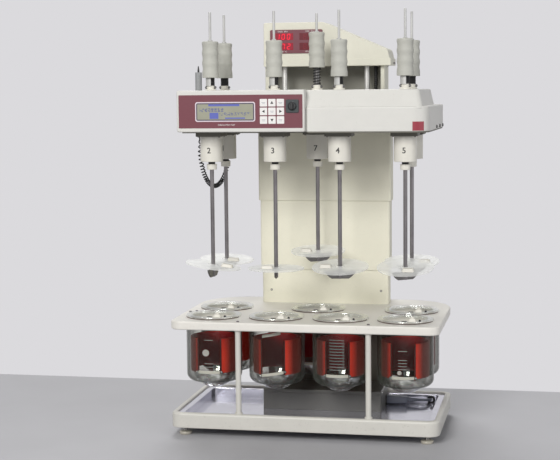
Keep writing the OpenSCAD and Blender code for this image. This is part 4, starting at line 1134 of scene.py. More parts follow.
clips_shell.make("rim_clips", "frame", [WHITE_RUBBER, BLACK], ["flange_clips"])
print("clips made")

# %% [markdown]
# ## Lettering
# Printed marks are meshes too. A line of text is a font curve whose triangles are read into an array; on a
# round housing each point is wrapped by the angle a = u / R. Lit digits are made of seven bars.

# %% Lettering and digits
DIGIT_BARS = {"0": "abcdef", "1": "bc", "2": "abged", "3": "abgcd", "5": "afgcd", "7": "abc", "8": "abcdefg"}
FONT_CAP, BOLD, DIGIT_SLANT = 0.7, 0.02, 0.1


def lettering(text, height):
    """Points (u, v) and triangles of a centred line of text whose capitals are height tall."""
    curve = bpy.data.curves.new("letters", "FONT")
    curve.body, curve.size, curve.offset = text, height / FONT_CAP, BOLD * height
    curve.align_x, curve.align_y = "CENTER", "CENTER"
    holder = bpy.data.objects.new("letters", curve)
    mesh = bpy.data.meshes.new_from_object(holder)
    mesh.calc_loop_triangles()
    points, triangles = np.empty(len(mesh.vertices) * 3), np.empty(len(mesh.loop_triangles) * 3, int)
    mesh.vertices.foreach_get("co", points)
    mesh.loop_triangles.foreach_get("vertices", triangles)
    bpy.data.meshes.remove(mesh)
    bpy.data.objects.remove(holder)
    bpy.data.curves.remove(curve)
    return points.reshape(-1, 3)[:, :2], triangles.reshape(-1, 3)


def label(shell, text, height, at, paint=0, wrap=None):
    """Text on a front face, or wrapped on an upright cylinder R: (R sin(u / R), -R cos(u / R), v)."""
    flat, triangles = lettering(text, height)
    u, v = flat.T
    points = np.stack([u, np.zeros(len(u)), v], -1)
    if wrap:
        points = np.stack([wrap * np.sin(u / wrap), -wrap * np.cos(u / wrap), v], -1)
    shell.add(points + np.asarray(at, float), triangles, paint)


def seven_segment(shell, digit, at, height, paint):
    """Bars of a digit, each a pointed hexagon: flat ones at v = h/2, 0, -h/2, upright ones at the sides."""
    half_w, half_h, t = 0.26 * height, 0.5 * height, 0.06 * height
    bars = {
        "a": (0, half_h, 0), "g": (0, 0, 0), "d": (0, -half_h, 0),
        "b": (half_w, half_h / 2, 1), "c": (half_w, -half_h / 2, 1),
        "e": (-half_w, -half_h / 2, 1), "f": (-half_w, half_h / 2, 1),
    }
    for name in DIGIT_BARS[digit]:
        u, v, upright = bars[name]
        reach = (half_h / 2 if upright else half_w) - 0.3 * t
        bar = np.array([
            (-reach, 0), (t - reach, -t), (reach - t, -t), (reach, 0), (reach - t, t), (t - reach, t),
        ])
        bar = (bar[:, ::-1] * (-1, 1) if upright else bar) + (u, v)
        bar[:, 0] += DIGIT_SLANT * bar[:, 1]
        shell.prism(bar, 0, 0.3, 0.05, paint, "front", at)


print("lettering ready")

# %% [markdown]
# ## The lift tower
# The tower is a folded channel, open to the front, with turned-in lips. Three skirts of thin sheet cover it
# and slide over each other as the head comes down: the lower one is fixed, the upper one rides on the head.
# Inside, the channel is given a greyer colour as painted shade: a box test on Object coordinates picks those
# faces.

# %% Channel and skirts
LIP, CHANNEL_WALL, SHEET = 10.0, 3.0, 2.0
channel_low, channel_high = span("tower_channel")


def channel_plan(half, front, rear):
    """Plan of a channel with lips: outside round the back, then along the inside."""
    inside, lip = half - CHANNEL_WALL, half - LIP
    lip_back, back = front + CHANNEL_WALL, rear - CHANNEL_WALL
    corners = [
        (-half, front), (-lip, front), (-lip, lip_back), (-inside, lip_back), (-inside, back),
        (inside, back), (inside, lip_back), (lip, lip_back), (lip, front), (half, front),
        (half, rear), (-half, rear),
    ]
    return rounded(corners, [2.5, 1, 1, 0.5, 2, 2, 0.5, 1, 1, 2.5, 5, 5], 4)


CHANNEL_COAT_AND_PAINTED_SHADE = coated("channel_coat_painted_shade_inside", "cream_paint", CREAM_COLOUR, 0.48, drift=0.03, grime=0.12)
x, y, _ = CHANNEL_COAT_AND_PAINTED_SHADE.axes()
inner_half = (channel_high[0] - CHANNEL_WALL + 0.5) * MM
inner_front, inner_rear = (np.array([channel_low[1], channel_high[1]]) + LAYOUT_TO_ROW[1] + (2.5, -2.5)) * MM
inside = (x > -inner_half) * (x < inner_half) * (y > inner_front) * (y < inner_rear)
painted = Signal(CHANNEL_COAT_AND_PAINTED_SHADE, CHANNEL_COAT_AND_PAINTED_SHADE.shader.inputs["Base Color"].links[0].from_socket)
# The inner faces get a greyer colour: painted shade inside the channel.
CHANNEL_COAT_AND_PAINTED_SHADE.set(Base_Color=CHANNEL_COAT_AND_PAINTED_SHADE.mix(inside, painted, srgb(170, 168, 157)))
channel_shell = Shell()
channel_outline = channel_plan(channel_high[0], channel_low[1], channel_high[1])
channel_shell.prism(channel_outline, channel_low[2], channel_high[2] - CHANNEL_WALL, 0.4)
lid_plan = box_outline("tower_channel", 4.0)
channel_shell.prism(lid_plan, channel_high[2] - CHANNEL_WALL, channel_high[2], 0.4)
for side, way in ((channel_low[0], "left"), (channel_high[0], "right")):
    for screw_y in (channel_low[1] + 52, channel_low[1] + 66):
        screw(channel_shell, (side, screw_y, channel_high[2] - 3), way, 5.0, 1)
    for screw_z in (330, 520, 700):
        screw(channel_shell, (side, channel_high[1] - 16, screw_z), way, 5.0, 1)
for screw_z in (300, 480, 660, 840):
    for side in (-1, 1):
        screw(channel_shell, (side * 128, channel_high[1], screw_z), "back", 6.0, 1)
channel_shell.make("tower_channel_folded", "frame", [CHANNEL_COAT_AND_PAINTED_SHADE, BRIGHT_STEEL], ["tower_channel"])

FLUSH_HEAD = [(2.9, -0.4), (2.9, 0.05), (2.7, 0.25), (1.2, 0.25), (1.1, -0.2), (0.05, -0.2)]
SKIRTS = {
    "skirt_lower": ("frame", ((-137.3, 304), (141, 305.5))),
    "skirt_middle": ("skirt_middle", ()),
    "skirt_upper": ("head", ()),
}
for node, (riding, spots) in SKIRTS.items():
    low, high = span(node)
    half, front, rear = high[0], low[1], high[1]
    inside, sheet_back = half - SHEET, front + SHEET
    sheet_corners = [
        (-half, rear), (-half, front), (half, front), (half, rear),
        (inside, rear), (inside, sheet_back), (-inside, sheet_back), (-inside, rear),
    ]
    sheet_plan = rounded(sheet_corners, [0.6, 4.5, 4.5, 0.6, 0.6, 2.5, 2.5, 0.6])
    skirt_shell = Shell()
    skirt_shell.prism(sheet_plan, low[2], high[2], 0.4)
    for x, z in spots:
        skirt_shell.lathe(FLUSH_HEAD, (x, front, z), "front", 1, steps=20)
    skirt_shell.make(f"{node}_sheet", riding, [SKIRT_CREAM_PAINTED_LIGHT, SHAFT_STEEL], [node])
print("tower sheets made")

# %% [markdown]
# ## Cap and status display
# The cap is a prism on its front outline, with a thin lip that laps over the channel. The display behind the
# maroon film shows four windows of red digits, two of them lit.

# %% Cap and status display
cap_low, cap_high = span("tower_cap")
CAP_LIP, LIP_PROUD, CAP_FLAT, CAP_LEAN = 15.0, 0.7, 0.0, 8.0
CAP_LEAN_Z, CAP_SIDE_Z = 873.0, 903.0
(cap_left, cap_front, cap_bottom), (cap_right, cap_rear, cap_top) = cap_low, cap_high
cap_corners = [
    (cap_left, cap_bottom), (cap_right, cap_bottom), (cap_right, CAP_LEAN_Z),
    (cap_right - CAP_LEAN, CAP_SIDE_Z), (CAP_FLAT, cap_top), (cap_left, cap_top),
]
cap_outline = rounded(cap_corners, [0.8, 0.8, 14, 12, 30, 5])
cap_shell = Shell()
cap_shell.prism(cap_outline, -cap_rear, -cap_front, 1.2, way="front", top_edge=2.2)
lip_left, lip_right, lip_rear = cap_left - LIP_PROUD, cap_right + LIP_PROUD, cap_rear + LIP_PROUD
lip_plan = rounded(rectangle(lip_left, lip_right, cap_front - LIP_PROUD, lip_rear), 3.0)
cap_shell.prism(lip_plan, cap_bottom - 2.0, cap_bottom + CAP_LIP, 0.3, top_edge=0.7)
for x in (cap_left + 12, cap_right - 12):
    screw(cap_shell, (x, lip_rear, cap_bottom + 8), "back", 5.0, 1)
for screw_y in (215, 235):
    screw(cap_shell, (lip_right, screw_y, cap_bottom + 4), "right", 5.0, 1)
    screw(cap_shell, (lip_left, screw_y, cap_bottom + 4), "left", 5.0, 1)
cap_shell.make("tower_cap_folded", "frame", [CREAM, SHAFT_STEEL], ["tower_cap"])

shown_low, shown_high = span("status_display")
WINDOW_X, WINDOW_Z = ((-127.0, -74.5), (-58.8, -7.0)), ((928.4, 945.5), (904.0, 921.8))
READINGS = {(0, 0): "100", (0, 1): "372", (1, 0): "888", (1, 1): "888"}
TITLES = {(0, 0): "SPEED  RPM", (0, 1): "BATH  °C", (1, 0): "TIME  MIN", (1, 1): "VESSEL  °C"}
DIGIT_H, DIGIT_PITCH, FILM_Y = 12.5, 13.5, shown_low[1]
display_shell = Shell()
film = box_outline("status_display", 4.0, (0, 2))
display_shell.prism(film, -shown_high[1], -FILM_Y, 0.2, way="front", top_edge=0.8)
for (column, row), digits in READINGS.items():
    (x0, x1), (z0, z1) = WINDOW_X[column], WINDOW_Z[row]
    pane = rounded(rectangle(x0, x1, z0, z1), 1.0)
    display_shell.prism(pane, -FILM_Y - 0.2, -FILM_Y + 0.3, 0.1, 1 if column else 5, "front")
    for place, digit in enumerate(digits):
        middle = ((x0 + x1) / 2 + DIGIT_PITCH * (place - 0.9), FILM_Y - 0.25, (z0 + z1) / 2)
        seven_segment(display_shell, digit, middle, DIGIT_H, 3 if column else 2)
    title_z = z1 + 3.8 if row == 0 else z0 - 3.8
    label(display_shell, TITLES[column, row], 3.4, ((x0 + x1) / 2, FILM_Y - 0.1, title_z), 4)
display_finishes = [MAROON, LED_WINDOW, LED_LIT, LED_DIM, INK_WHITE, LED_GLOW]
display_shell.make("status_display_film", "frame", display_finishes, ["status_display"])
print("cap and display made")

# %% [markdown]
# ## Guide rods and lift screw
# The screw's thread is a helix: its radius is R - d (1 + cos(2 pi z / pitch - a)) / 2, so the ridge climbs
# one pitch for each turn of the angle a.

# %% Rods and screw
ROD_R, SCREW_PITCH, THREAD_DEEP, THREAD_ROWS, THREAD_SIDES = 7.0, 5.0, 1.0, 800, 20
rod_h = np.ptp(span("guide_rods"), 0)[2]
upright_pair("guide_rods_ground", "guide_rods", ROD_R, round_bar(ROD_R, 0, rod_h, 0.8), ROD_STEEL)

thread_low, thread_high = span("lift_screw")
thread_x, thread_y, _ = middle_of("lift_screw")
thread_z = np.linspace(thread_low[2], thread_high[2], THREAD_ROWS)[:, None]
thread_a = np.linspace(0, 2 * math.pi, THREAD_SIDES, endpoint=False)[None]
thread_depth = THREAD_DEEP * (0.5 + 0.5 * np.cos(2 * math.pi * thread_z / SCREW_PITCH - thread_a))
thread_r = (thread_high[0] - thread_low[0]) / 2 - thread_depth
thread_rise = np.broadcast_to(thread_z, thread_r.shape)
thread_plan = [thread_x + thread_r * np.cos(thread_a), thread_y + thread_r * np.sin(thread_a)]
screw_shell = Shell()
screw_shell.grid(np.stack([*thread_plan, thread_rise], -1))
screw_shell.make("lift_screw_threaded", "lift_screw", [SPRING_BLACK], ["lift_screw"], smooth=60.0)
for node, finish in (("carriage", CARRIAGE_ALLOY), ("lift_motor", BLACK), ("drive_motor", BLACK)):
    dress(node, finish)
print("rods made")

# %% [markdown]
# ## The drive head
# The head is a moulded cover in two tiers. The lower tier is a U in plan that reaches round the tower; the
# upper tier is drawn between two outlines, so its front and its right end lean back. Below it is the dark pan
# with a bearing plate at each station.

# %% Head cover and pan
pan_low, pan_high = span("head_pan")
head_low, head_high = span("head_cover")
PANEL_RIGHT, LEFT_FRONT, RIGHT_FRONT, NOTCH_HALF, NOTCH_Y = 9.0, -120.0, head_low[1], 172.0, 155.0
TIER_Z, TIER_END, TIER_LEAN, HEAD_END, CORNER_R = 767.5, 275.0, 20.0, 288.0, 36.0
LABEL_LOW, LABEL_HIGH, SOCKET_PLACES = 712.5, 733.0, (62, 143, 224)
SOCKET_PROFILE = [(4.2, -1), (4.2, 1.6), (3.4, 2.2), (2.6, 2.2), (2.4, 0.2), (AXIS_R, 0.2)]
head_rear = head_high[1]
head_plan_corners = [
    (-HEAD_END, LEFT_FRONT), (PANEL_RIGHT, LEFT_FRONT), (PANEL_RIGHT, RIGHT_FRONT), (HEAD_END, RIGHT_FRONT),
    (HEAD_END, head_rear), (NOTCH_HALF, head_rear), (NOTCH_HALF, NOTCH_Y),
    (-NOTCH_HALF, NOTCH_Y), (-NOTCH_HALF, head_rear), (-HEAD_END, head_rear),
]
head_plan = rounded(head_plan_corners, [6, 1, 6, CORNER_R, 12, 8, 4, 4, 8, 12], 10)
head_shell = Shell()
head_shell.prism(head_plan, head_low[2], TIER_Z, 1.5, top_edge=4.0)


def tier_plan(end, front):
    """Plan of the upper tier, whose right end and right-hand front can lean back."""
    corners = [
        (-HEAD_END, LEFT_FRONT), (PANEL_RIGHT, LEFT_FRONT), (PANEL_RIGHT, front),
        (end, front), (end, NOTCH_Y), (-HEAD_END, NOTCH_Y),
    ]
    return rounded(corners, [6, 1, 5, 12, 8, 8], 8)


tier_low, tier_top = tier_plan(TIER_END, RIGHT_FRONT + 1), tier_plan(TIER_END - 9, RIGHT_FRONT + TIER_LEAN)
head_shell.prism(tier_low, TIER_Z - 5, head_high[2], 0.5, top_edge=4.0, top=tier_top)
label_at = (HEAD_END - CORNER_R, RIGHT_FRONT + CORNER_R, 0)
arc_bar(head_shell, label_at, CORNER_R - 0.5, CORNER_R + 0.4, LABEL_LOW, LABEL_HIGH, -90, -47, 1, 0.3)
for socket_y in SOCKET_PLACES:
    socket_at = (HEAD_END, socket_y, head_low[2] + 5.5)
    head_shell.lathe(SOCKET_PROFILE, socket_at, "right", 2, steps=20)
head_shell.make("head_cover_moulded", "head", [HEAD_WHITE, LABEL_RED, BLACK], ["head_cover"])

PLATE_HALF, PLATE_SCREW = 31.0, 25.0
pan_shell = Shell()
pan_plan = head_plan + drawn_in(head_plan) * 1.0
pan_shell.prism(pan_plan, pan_high[2] - 3.0, pan_high[2], 0.3)
bearing_plan = rounded(rectangle(-PLATE_HALF, PLATE_HALF, -PLATE_HALF, PLATE_HALF), 4.0)
for k in STATION_NUMBERS:
    pan_shell.prism(bearing_plan, pan_low[2], pan_high[2] - 3.0, 1.0, at=station(k))
    for u in (-PLATE_SCREW, PLATE_SCREW):
        for v in (-PLATE_SCREW, PLATE_SCREW):
            screw(pan_shell, station(k) + (u, v, pan_low[2]), "down", 5.0, 1)
pan_shell.make("head_pan_folded", "head", [PAN_GREY_AND_SHADE, SHAFT_STEEL], ["head_pan"])
print("head made")

# %% [markdown]
# ## Control panel
# The panel block carries a printed film: a framed display, nine flat keys and a key switch on a square plate.
# Each printed layer stands a few tenths of a millimetre in front of the one behind it.

# %% Panel, display, keys and switch
panel_low, panel_high = span("control_panel")
FACE = -panel_low[1]
LCD_X, LCD_Z, LCD_W, LCD_H, LCD_SHOWN_W, LCD_SHOWN_H = -175.0, 757.5, 141.0, 45.0, 130.0, 36.0
PRINT_LOW, PRINT_HIGH, CAPTION_Z, CAPTION_H = 720.0, 796.0, 727.4, 3.2
LCD_LAYERS = ((0.0, 5.0, 0.3, 0.9), (2.4, 3.5, 0.6, 1.0), (5.0, 1.0, 0.8, 1.15))
KEY_X, KEY_Z, KEY_STEP, KEY_HALF = -65.5, 758.0, 19.6, 8.6
SWITCH_X, SWITCH_Z, SWITCH_HALF = -18.5, 769.5, 15.0
LCD = liquid_crystal(LCD_X, LCD_Z, LCD_SHOWN_W, LCD_SHOWN_H)


def patch(shell, x0, x1, z0, z1, radius, low, high, paint=0, edge=0.15, at=(0, 0, 0)):
    """Rounded rectangle on the panel face, between two depths in front of it."""
    shell.prism(rounded(rectangle(x0, x1, z0, z1), radius), FACE + low, FACE + high, edge, paint, "front", at)


panel_shell = Shell()
panel_outline = box_outline("control_panel", 4.0, (0, 2))
panel_shell.prism(panel_outline, -panel_high[1], FACE, 1.0, way="front", top_edge=3.0)
patch(panel_shell, panel_low[0] + 5, PANEL_RIGHT - 4, PRINT_LOW, PRINT_HIGH, 1.5, -0.2, 0.4, 1)
label(panel_shell, "DISSOLUTION TEST", CAPTION_H, (LCD_X + 3, -FACE - 0.45, CAPTION_Z), 2)
panel_shell.make("control_panel_block", "head", [HEAD_WHITE, MAROON, INK_WHITE], ["control_panel"])

lcd_shell = Shell()
for paint, (inset, radius, low, high) in enumerate(LCD_LAYERS):
    half_w, half_h = LCD_W / 2 - inset, LCD_H / 2 - inset
    patch(lcd_shell, LCD_X - half_w, LCD_X + half_w, LCD_Z - half_h, LCD_Z + half_h, radius, low, high, paint)
lcd_shell.make("framed_display", "head", [LCD_RIM, LCD_SURROUND, LCD], ["lcd_window"])

ARROW = np.array([(0.0, 3.8), (-3.6, -2.6), (3.6, -2.6)])
KEY_LINES = ((-4.5, 4.5, -0.1, 1.1), (-3.0, 3.4, -2.6, -1.6))
ARROW_KEYS = {(0, 1): 0, (-1, 0): 90, (0, -1): 180, (1, 0): 270}
keys_shell = Shell()
for column in (-1, 0, 1):
    for row in (-1, 0, 1):
        x, z = KEY_X + column * KEY_STEP, KEY_Z + row * KEY_STEP
        patch(keys_shell, -KEY_HALF, KEY_HALF, -KEY_HALF, KEY_HALF, 1.4, 0.2, 1.1, edge=0.4, at=(x, 0, z))
        if (column, row) in ARROW_KEYS:
            arrow = ARROW @ turned(z=ARROW_KEYS[column, row])[:2, :2].T
            keys_shell.prism(arrow, FACE + 1.0, FACE + 1.2, 0.03, 1, "front", (x, 0, z))
        else:
            for line in KEY_LINES:
                patch(keys_shell, *line, 0.3, 1.0, 1.2, 2, 0.03, (x, 0, z))
keys_shell.make("membrane_keys", "head", [KEY_WHITE, INK_BLACK, INK_GREY], ["keypad"])

switch_plate = Shell()
switch_at, switch_face = (SWITCH_X, 0, SWITCH_Z), (SWITCH_X, -FACE, SWITCH_Z)
switch_ring = [(10.6, 0), (10.6, 2.8), (9.8, 3.1), (9.2, 2.6), (9.2, 0)]
square = (-SWITCH_HALF, SWITCH_HALF, -SWITCH_HALF, SWITCH_HALF)
patch(switch_plate, *square, 3.0, 0.1, 2.4, edge=0.9, at=switch_at)
switch_plate.lathe(switch_ring, switch_face, "front", closed=True)
switch_plate.make("switch_plate", "head", [SWITCH_GREY])
knob_shell = Shell()
knob_profile = soft_profile([(9, 0.6), (9, 3.6), (7.4, 4.4), (AXIS_R, 4.4)], 0.6)
knob_shell.lathe(knob_profile, switch_face, "front")
fin = rounded(rectangle(-2.7, 2.7, -7.4, 7.4), 2.2)
knob_shell.prism(fin, FACE + 4.0, FACE + 9.5, 0.4, way="front", at=switch_at, top_edge=1.2)
knob_shell.make("switch_knob", "key_switch", [BLACK], ["key_switch"])
print("panel made")

# %% [markdown]
# ## Probe
# The parked probe is a turned grey body with a flat top and a thin dark tip. It stands in a hole of the head.

# %% Probe
PROBE_AT = np.array([*middle_of("probe")[:2], 0.0])
PROBE_R, PROBE_TIP_R, PROBE_TIP_H = 8.0, 2.4, 15.0
probe_foot, probe_top = probe_low[2], probe_high[2]
shoulder = probe_top - PROBE_TIP_H
probe_shell = Shell()
probe_lower = [(2.2, probe_foot), (PROBE_R - 2, probe_foot + 0.4), (PROBE_R, probe_foot + 8)]
probe_upper = [(PROBE_R, shoulder - 1), (PROBE_R - 1, shoulder), (PROBE_TIP_R, shoulder)]
probe_shell.lathe(soft_profile(probe_lower + probe_upper, 0.7), PROBE_AT, steps=36)
probe_tip = [(PROBE_TIP_R, shoulder - 1), (PROBE_TIP_R, shoulder + 4), (1.2, probe_top - 1), (0.2, probe_top)]
probe_shell.lathe(soft_profile(probe_tip, 0.8), PROBE_AT, paint=1, steps=20)
probe_shell.make("probe_turned", "probe", [PROBE_GREY, BLACK], ["probe"])
print("probe made")

# %% [markdown]
# ## Spindles and hubs
# Under the head each shaft runs in a white housing with its number; on top it comes out of a white hub with a
# cross pin. At the front stations half a steel sleeve hides the spring.

# %% Housings and hubs
housing_low, housing_high = span("spindle_housings")
HOUSING_R, NOSE_R, NOSE_TOP, HOUSING_FOOT, NUMBER_Z, NUMBER_H = 26.5, 12.0, 634.0, 640.0, 666.0, 13.0
SHAFT_R, SHAFT_GAP = 4.75, 0.25
bore = SHAFT_R + SHAFT_GAP
nose_low, housing_top = housing_low[2], housing_high[2]
housing_profile = rounded(rectangle(bore, HOUSING_R, HOUSING_FOOT, housing_top), [0.3, 1.6, 1.2, 0.3])
nose_corners = [(bore, nose_low), (NOSE_R - 0.6, nose_low), (NOSE_R, NOSE_TOP), (bore, NOSE_TOP)]
nose_profile = rounded(nose_corners, [0.3, 1.4, 1.0, 0.3])
neck_painted_shade = rectangle(bore, 8, NOSE_TOP - 1, HOUSING_FOOT + 1)
housing_shell = Shell()
for k in STATION_NUMBERS:
    housing_shell.lathe(housing_profile, station(k), closed=True, steps=64)
    housing_shell.lathe(nose_profile, station(k), closed=True)
    # The neck between housing and nose is black ink: painted shade in the gap.
    housing_shell.lathe(neck_painted_shade, station(k), paint=1, closed=True)
    label(housing_shell, str(k), NUMBER_H, station(k) + (0, 0, NUMBER_Z), 1, HOUSING_R + 0.35)
housing_shell.make("spindle_housings_turned", "head", [NYLON, INK_BLACK], ["spindle_housings"])

HUB_Z = head_high[2]
HUB_TOP, DISC_R, DISC_H, COLLAR_R, NECK_R, NECK_TOP = HUB_Z + 12.0, 13.0, 4.0, 9.0, 7.0, 864.0
KNOB_REACH, KNOB_RISE, KNOB_R, SLEEVE_TOP = 10.5, 8.0, 3.4, 835.6
SLEEVE_IN, SLEEVE_OUT, SLEEVE_FROM, SLEEVE_TO = 10.7, 11.4, -205, -74
hub_low, disc_top = HUB_Z - 0.5, HUB_Z + DISC_H
hub_disc = [(bore, hub_low), (DISC_R, hub_low), (DISC_R, disc_top)]
hub_collar = [(COLLAR_R, disc_top), (COLLAR_R, HUB_TOP), (bore, HUB_TOP)]
hub_profile = rounded(hub_disc + hub_collar, [0.3, 0.4, 1.2, 1.0, 0.8, 0.3])
neck_profile = rounded(rectangle(bore, NECK_R, HUB_TOP - 3, NECK_TOP), [0.3, 0.3, 0.6, 0.3])
hubs_shell = Shell()
for k in STATION_NUMBERS:
    hubs_shell.lathe(hub_profile, station(k), closed=True)
    # The neck inside the spring takes the darker pin steel: painted shade in the spring's core.
    hubs_shell.lathe(neck_profile, station(k), closed=True, paint=2, steps=32)
    for side in (-1, 1):
        knob_at = station(k) + (side * KNOB_REACH, 0, HUB_Z + KNOB_RISE)
        hubs_shell.lathe(KNOB_R * ball, knob_at, paint=2, steps=20)
for k in FRONT_STATIONS:
    sleeve = (SLEEVE_IN, SLEEVE_OUT, HUB_TOP - 1.0, SLEEVE_TOP, SLEEVE_FROM, SLEEVE_TO)
    arc_bar(hubs_shell, station(k), *sleeve, 1, 0.3)
hubs_shell.make("top_hubs_turned", "head", [WHITE_RUBBER, PALE_ROD, KNOB_STEEL], ["top_hubs"])
print("spindles made")

# %% [markdown]
# ## Springs and grips
# A spring is a helix (R cos a, R sin a, z) whose ends lie flat; it runs from the head down to the grip. The
# grip's radius follows a wave of three waists.

# %% Springs and grips
SPRING_R, SPRING_WIRE_R, SPRING_TURNS, SPRING_STEPS, FLAT_TURN = 8.6, 1.25, 7, 24, 0.6
GRIP_H, GRIP_R, GRIP_FOOT, GRIP_CROWN, GRIP_WAIST = 84.5, 19.5, 10.0, 4.0, 1.5
WELL_R, WELL_H = 8.5, 38.0


def spring_path(low, high):
    """Helix whose first and last turn lie flat: the height follows the turns between them."""
    turn = np.linspace(0, SPRING_TURNS, SPRING_TURNS * SPRING_STEPS + 1)
    rise = np.clip((turn - FLAT_TURN) / (SPRING_TURNS - 2 * FLAT_TURN), 0, 1)
    angle = 2 * math.pi * turn
    return np.stack([SPRING_R * np.cos(angle), SPRING_R * np.sin(angle), low + (high - low) * rise], -1)


def grip_profile():
    """From the well's top edge down inside, round the foot, up the three waists and over the crown."""
    s = np.linspace(0, 3, 49)
    side_r = GRIP_R - GRIP_WAIST * ((1 - np.cos(2 * math.pi * s)) / 2) ** 0.8
    side_z = GRIP_FOOT + (GRIP_H - GRIP_FOOT - GRIP_CROWN) * s / 3
    well = [(0.2, WELL_H), (WELL_R, WELL_H), (WELL_R, 1.0), (WELL_R + 1, 0.0)]
    foot = [(GRIP_R - 0.8, 0.0), (GRIP_R, 0.8)]
    crown_a = np.linspace(0, math.pi / 2, 6)
    crown = np.stack([np.cos(crown_a) - 1, np.sin(crown_a) - 1], -1) * GRIP_CROWN + (GRIP_R, GRIP_H)
    return np.concatenate([well, foot, np.stack([side_r, side_z], -1), crown[1:], [(0.2, GRIP_H)]])


for k in STATION_NUMBERS:
    foot_z = span(f"grip_{k}")[0][2]
    spring_shell = Shell()
    wire = station(k) + spring_path(HUB_TOP + SPRING_WIRE_R, foot_z - SPRING_WIRE_R)
    spring_shell.tube(wire, SPRING_WIRE_R, (0, 0, 1), sides=8)
    spring = spring_shell.make(f"grip_spring_{k}", None, [SPRING_BLACK], ["grip_springs"], weighted=False)
    spring_ends = to_row([station(k) + (0, 0, HUB_TOP), station(k) + (0, 0, foot_z)]).tolist()
    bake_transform(spring)
    grip_shell = Shell()
    grip_shell.lathe(grip_profile(), station(k) + (0, 0, foot_z))
    grip_shell.make(f"ribbed_grip_{k}", f"lifter_{k}", [GREY_RUBBER], [f"grip_{k}"])
print("springs and grips made")

# %% [markdown]
# ## Paddles
# The blade is a slice of a circle: its half width at height v is sqrt(R^2 - (c - v)^2). Each stands at its
# own angle, as it stopped. Above the grip a thin rod and its nut show.

# %% Paddles
BLADE_R, BLADE_MIDDLE, BLADE_H, BLADE_T, BOSS_R, ROD_TIP_R = 41.5, 36.5, 19.0, 4.0, 9.0, 3.0
BLADE_TURNS = (60, 85, 101, 11, 40, 11, 35)
SHAFT_IN_GRIP = 30.0
boss_low = [(SHAFT_R - 0.5, BLADE_H - 3), (BOSS_R, BLADE_H - 2)]
boss_high = [(BOSS_R, BLADE_H + 0.5), (SHAFT_R - 0.5, BLADE_H + 1.5)]
boss_profile = soft_profile(boss_low + boss_high, 0.6)
blade_v = np.linspace(0, BLADE_H, 12)
blade_u = np.sqrt(BLADE_R**2 - (BLADE_MIDDLE - blade_v) ** 2)
blade_outline = np.concatenate([np.stack([blade_u, blade_v], -1), np.stack([-blade_u, blade_v], -1)[::-1]])
for k in STATION_NUMBERS:
    paddle_low, paddle_high = span(f"paddle_{k}")
    grip_low, grip_high = span(f"grip_{k}")
    bottom, top = paddle_low[2], paddle_high[2]
    blade_shell = Shell(turned(0, 0, BLADE_TURNS[k - 1]), station(k) + (0, 0, bottom))
    blade_shell.prism(blade_outline, -BLADE_T / 2, BLADE_T / 2, 0.8, 1, "front")
    shaft_top, nut_low = grip_low[2] + SHAFT_IN_GRIP - bottom, grip_high[2] - bottom
    blade_shell.lathe(round_bar(SHAFT_R, 0, shaft_top, 0.5), steps=28)
    blade_shell.lathe(boss_profile, paint=1, steps=32)
    blade_shell.lathe(round_bar(ROD_TIP_R, nut_low - 2, top - bottom, 0.6), paint=2, steps=20)
    blade_shell.prism(hexagon(5.6, 0.6), nut_low, nut_low + 3, 0.4, 2)
    paddle_finishes = [SHAFT_STEEL, PADDLE_METAL, PALE_ROD]
    blade_shell.make(f"paddle_shaft_{k}", f"paddle_{k}", paddle_finishes, [f"paddle_{k}"])
print("paddles made")

# %% [markdown]
# ## Covers
# Each clear cover is a turned disc with a raised ring round its hole, and most are tilted as they rest on
# the blade. A white stopper stands on it.

# %% Covers
COVER_R, COVER_T, COVER_HOLE = 66.0, 4.0, 8.0
TILT_X, TILT_Y = (4, 0, 0, 9, 11, 7, 6), (3, 8, 0, 0, 0, 0, 0)
STOPPER_X, STOPPER_Y = (22, 36, -16, -32, 10, 32, -26), (-24, -10, -26, -14, -36, -18, -20)
PADDLE_BOTTOM, GRIP_LIFT, BLADE_TOP_HALF, COVER_PLAY, RING_TOP = 367.0, 23.0, 37.25, 0.6, 3.6
half_t = COVER_T / 2
disc_rim = [(COVER_HOLE, -half_t), (COVER_R, -half_t), (COVER_R, half_t)]
disc_ring = [(COVER_HOLE + 4.5, half_t), (COVER_HOLE + 4.0, RING_TOP), (COVER_HOLE, RING_TOP)]
disc_profile = rounded(disc_rim + disc_ring, [0.5, 1.2, 1.2, 0.5, 0.6, 0.5])
stopper_plan = rounded(rectangle(-14, 14, -7, 7), 3.5)
for k in STATION_NUMBERS:
    tilt_x, tilt_y = TILT_X[k - 1], TILT_Y[k - 1]
    tilt = math.radians(math.hypot(tilt_x, tilt_y))
    blade_top = PADDLE_BOTTOM + GRIP_LIFT * (k == LIFTED_STATION) + BLADE_H
    rest = blade_top + BLADE_TOP_HALF * math.tan(tilt) + half_t / math.cos(tilt) + COVER_PLAY
    cover_shell = Shell(turned(tilt_x, tilt_y), station(k) + (0, 0, rest))
    cover_shell.lathe(disc_profile, closed=True, steps=72)
    stopper_at = (STOPPER_X[k - 1], STOPPER_Y[k - 1], 0)
    cover_shell.prism(stopper_plan, 2.05, 9.6, 0.8, 1, at=stopper_at, top_edge=2.0, top=stopper_plan * 0.9)
    cover_shell.make(f"clear_cover_{k}", f"cover_{k}", [COVER_CLEAR_PAINTED_GLOW, WHITE_RUBBER], [f"cover_{k}"])
print("covers made")

# %% [markdown]
# ## Stage and light
# A pale floor and three large soft lamps light the machine. The backdrop is seen by the camera and in
# reflections only; other rays get a weaker, even light, so it does not wash out the shadows.

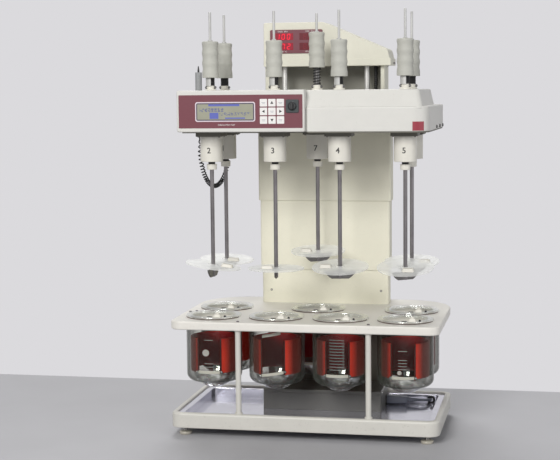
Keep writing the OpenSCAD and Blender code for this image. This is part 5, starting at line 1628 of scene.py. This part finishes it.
# %% Stage and light
FLOOR_HALF, FLOOR_REAR, FLOOR_DROP = 6.0, 0.42, 0.0005
floor_corners = rectangle(-FLOOR_HALF, FLOOR_HALF, -FLOOR_HALF, FLOOR_REAR)
stage_mesh = bpy.data.meshes.new("floor")
stage_mesh.from_pydata([(x, y, -FLOOR_DROP) for x, y in floor_corners], [], [(0, 1, 2, 3)])
stage_floor = bpy.data.objects.new("floor", stage_mesh)
stage_mesh.materials.append(coated("pale_floor", None, (184, 184, 188), 0.6, drift=0.02).material)
bpy.context.scene.collection.objects.link(stage_floor)


def lamp(name, place, aim, size, watts, colour):
    """Square area lamp: its -Z axis is turned from place to aim."""
    data = bpy.data.lights.new(name, "AREA")
    data.size, data.energy, data.color = size, watts, colour
    made = bpy.data.objects.new(name, data)
    toward = Vector(aim) - Vector(place)
    made.matrix_world = Matrix.Translation(place) @ toward.to_track_quat("-Z", "Y").to_matrix().to_4x4()
    bpy.context.scene.collection.objects.link(made)


MIDDLE = (0.0, 0.0, 0.5)
lamp("key_lamp", (-0.9, -5.3, 3.2), MIDDLE, 2.2, 246.0, (1.0, 0.99, 0.97))
lamp("fill_lamp", (2.8, -1.4, 1.5), MIDDLE, 2.0, 24.0, (0.97, 0.98, 1.0))
lamp("rear_lamp", (-0.8, 2.4, 4.2), MIDDLE, 2.0, 100.0, (1.0, 1.0, 1.0))

world = bpy.data.worlds.new("studio")
world.use_nodes = True
bpy.context.scene.world = world
world_nodes, world_links = world.node_tree.nodes, world.node_tree.links
world_nodes.clear()
rays = world_nodes.new("ShaderNodeLightPath")
seen = [rays.outputs[name] for name in ("Is Camera Ray", "Is Glossy Ray", "Is Transmission Ray")]
either = seen[0]
for ray in seen[1:]:
    joined = world_nodes.new("ShaderNodeMath")
    joined.operation = "MAXIMUM"
    world_links.new(either, joined.inputs[0])
    world_links.new(ray, joined.inputs[1])
    either = joined.outputs[0]
light, backdrop = world_nodes.new("ShaderNodeBackground"), world_nodes.new("ShaderNodeBackground")
light.inputs["Color"].default_value, light.inputs["Strength"].default_value = (1.0, 0.985, 0.945, 1.0), 0.18
backdrop.inputs["Color"].default_value = srgb(219, 218, 221)
choice, world_out = world_nodes.new("ShaderNodeMixShader"), world_nodes.new("ShaderNodeOutputWorld")
world_links.new(either, choice.inputs[0])
world_links.new(light.outputs[0], choice.inputs[1])
world_links.new(backdrop.outputs[0], choice.inputs[2])
world_links.new(choice.outputs[0], world_out.inputs["Surface"])
bpy.context.scene.view_settings.view_transform = "Standard"
print("stage ready")
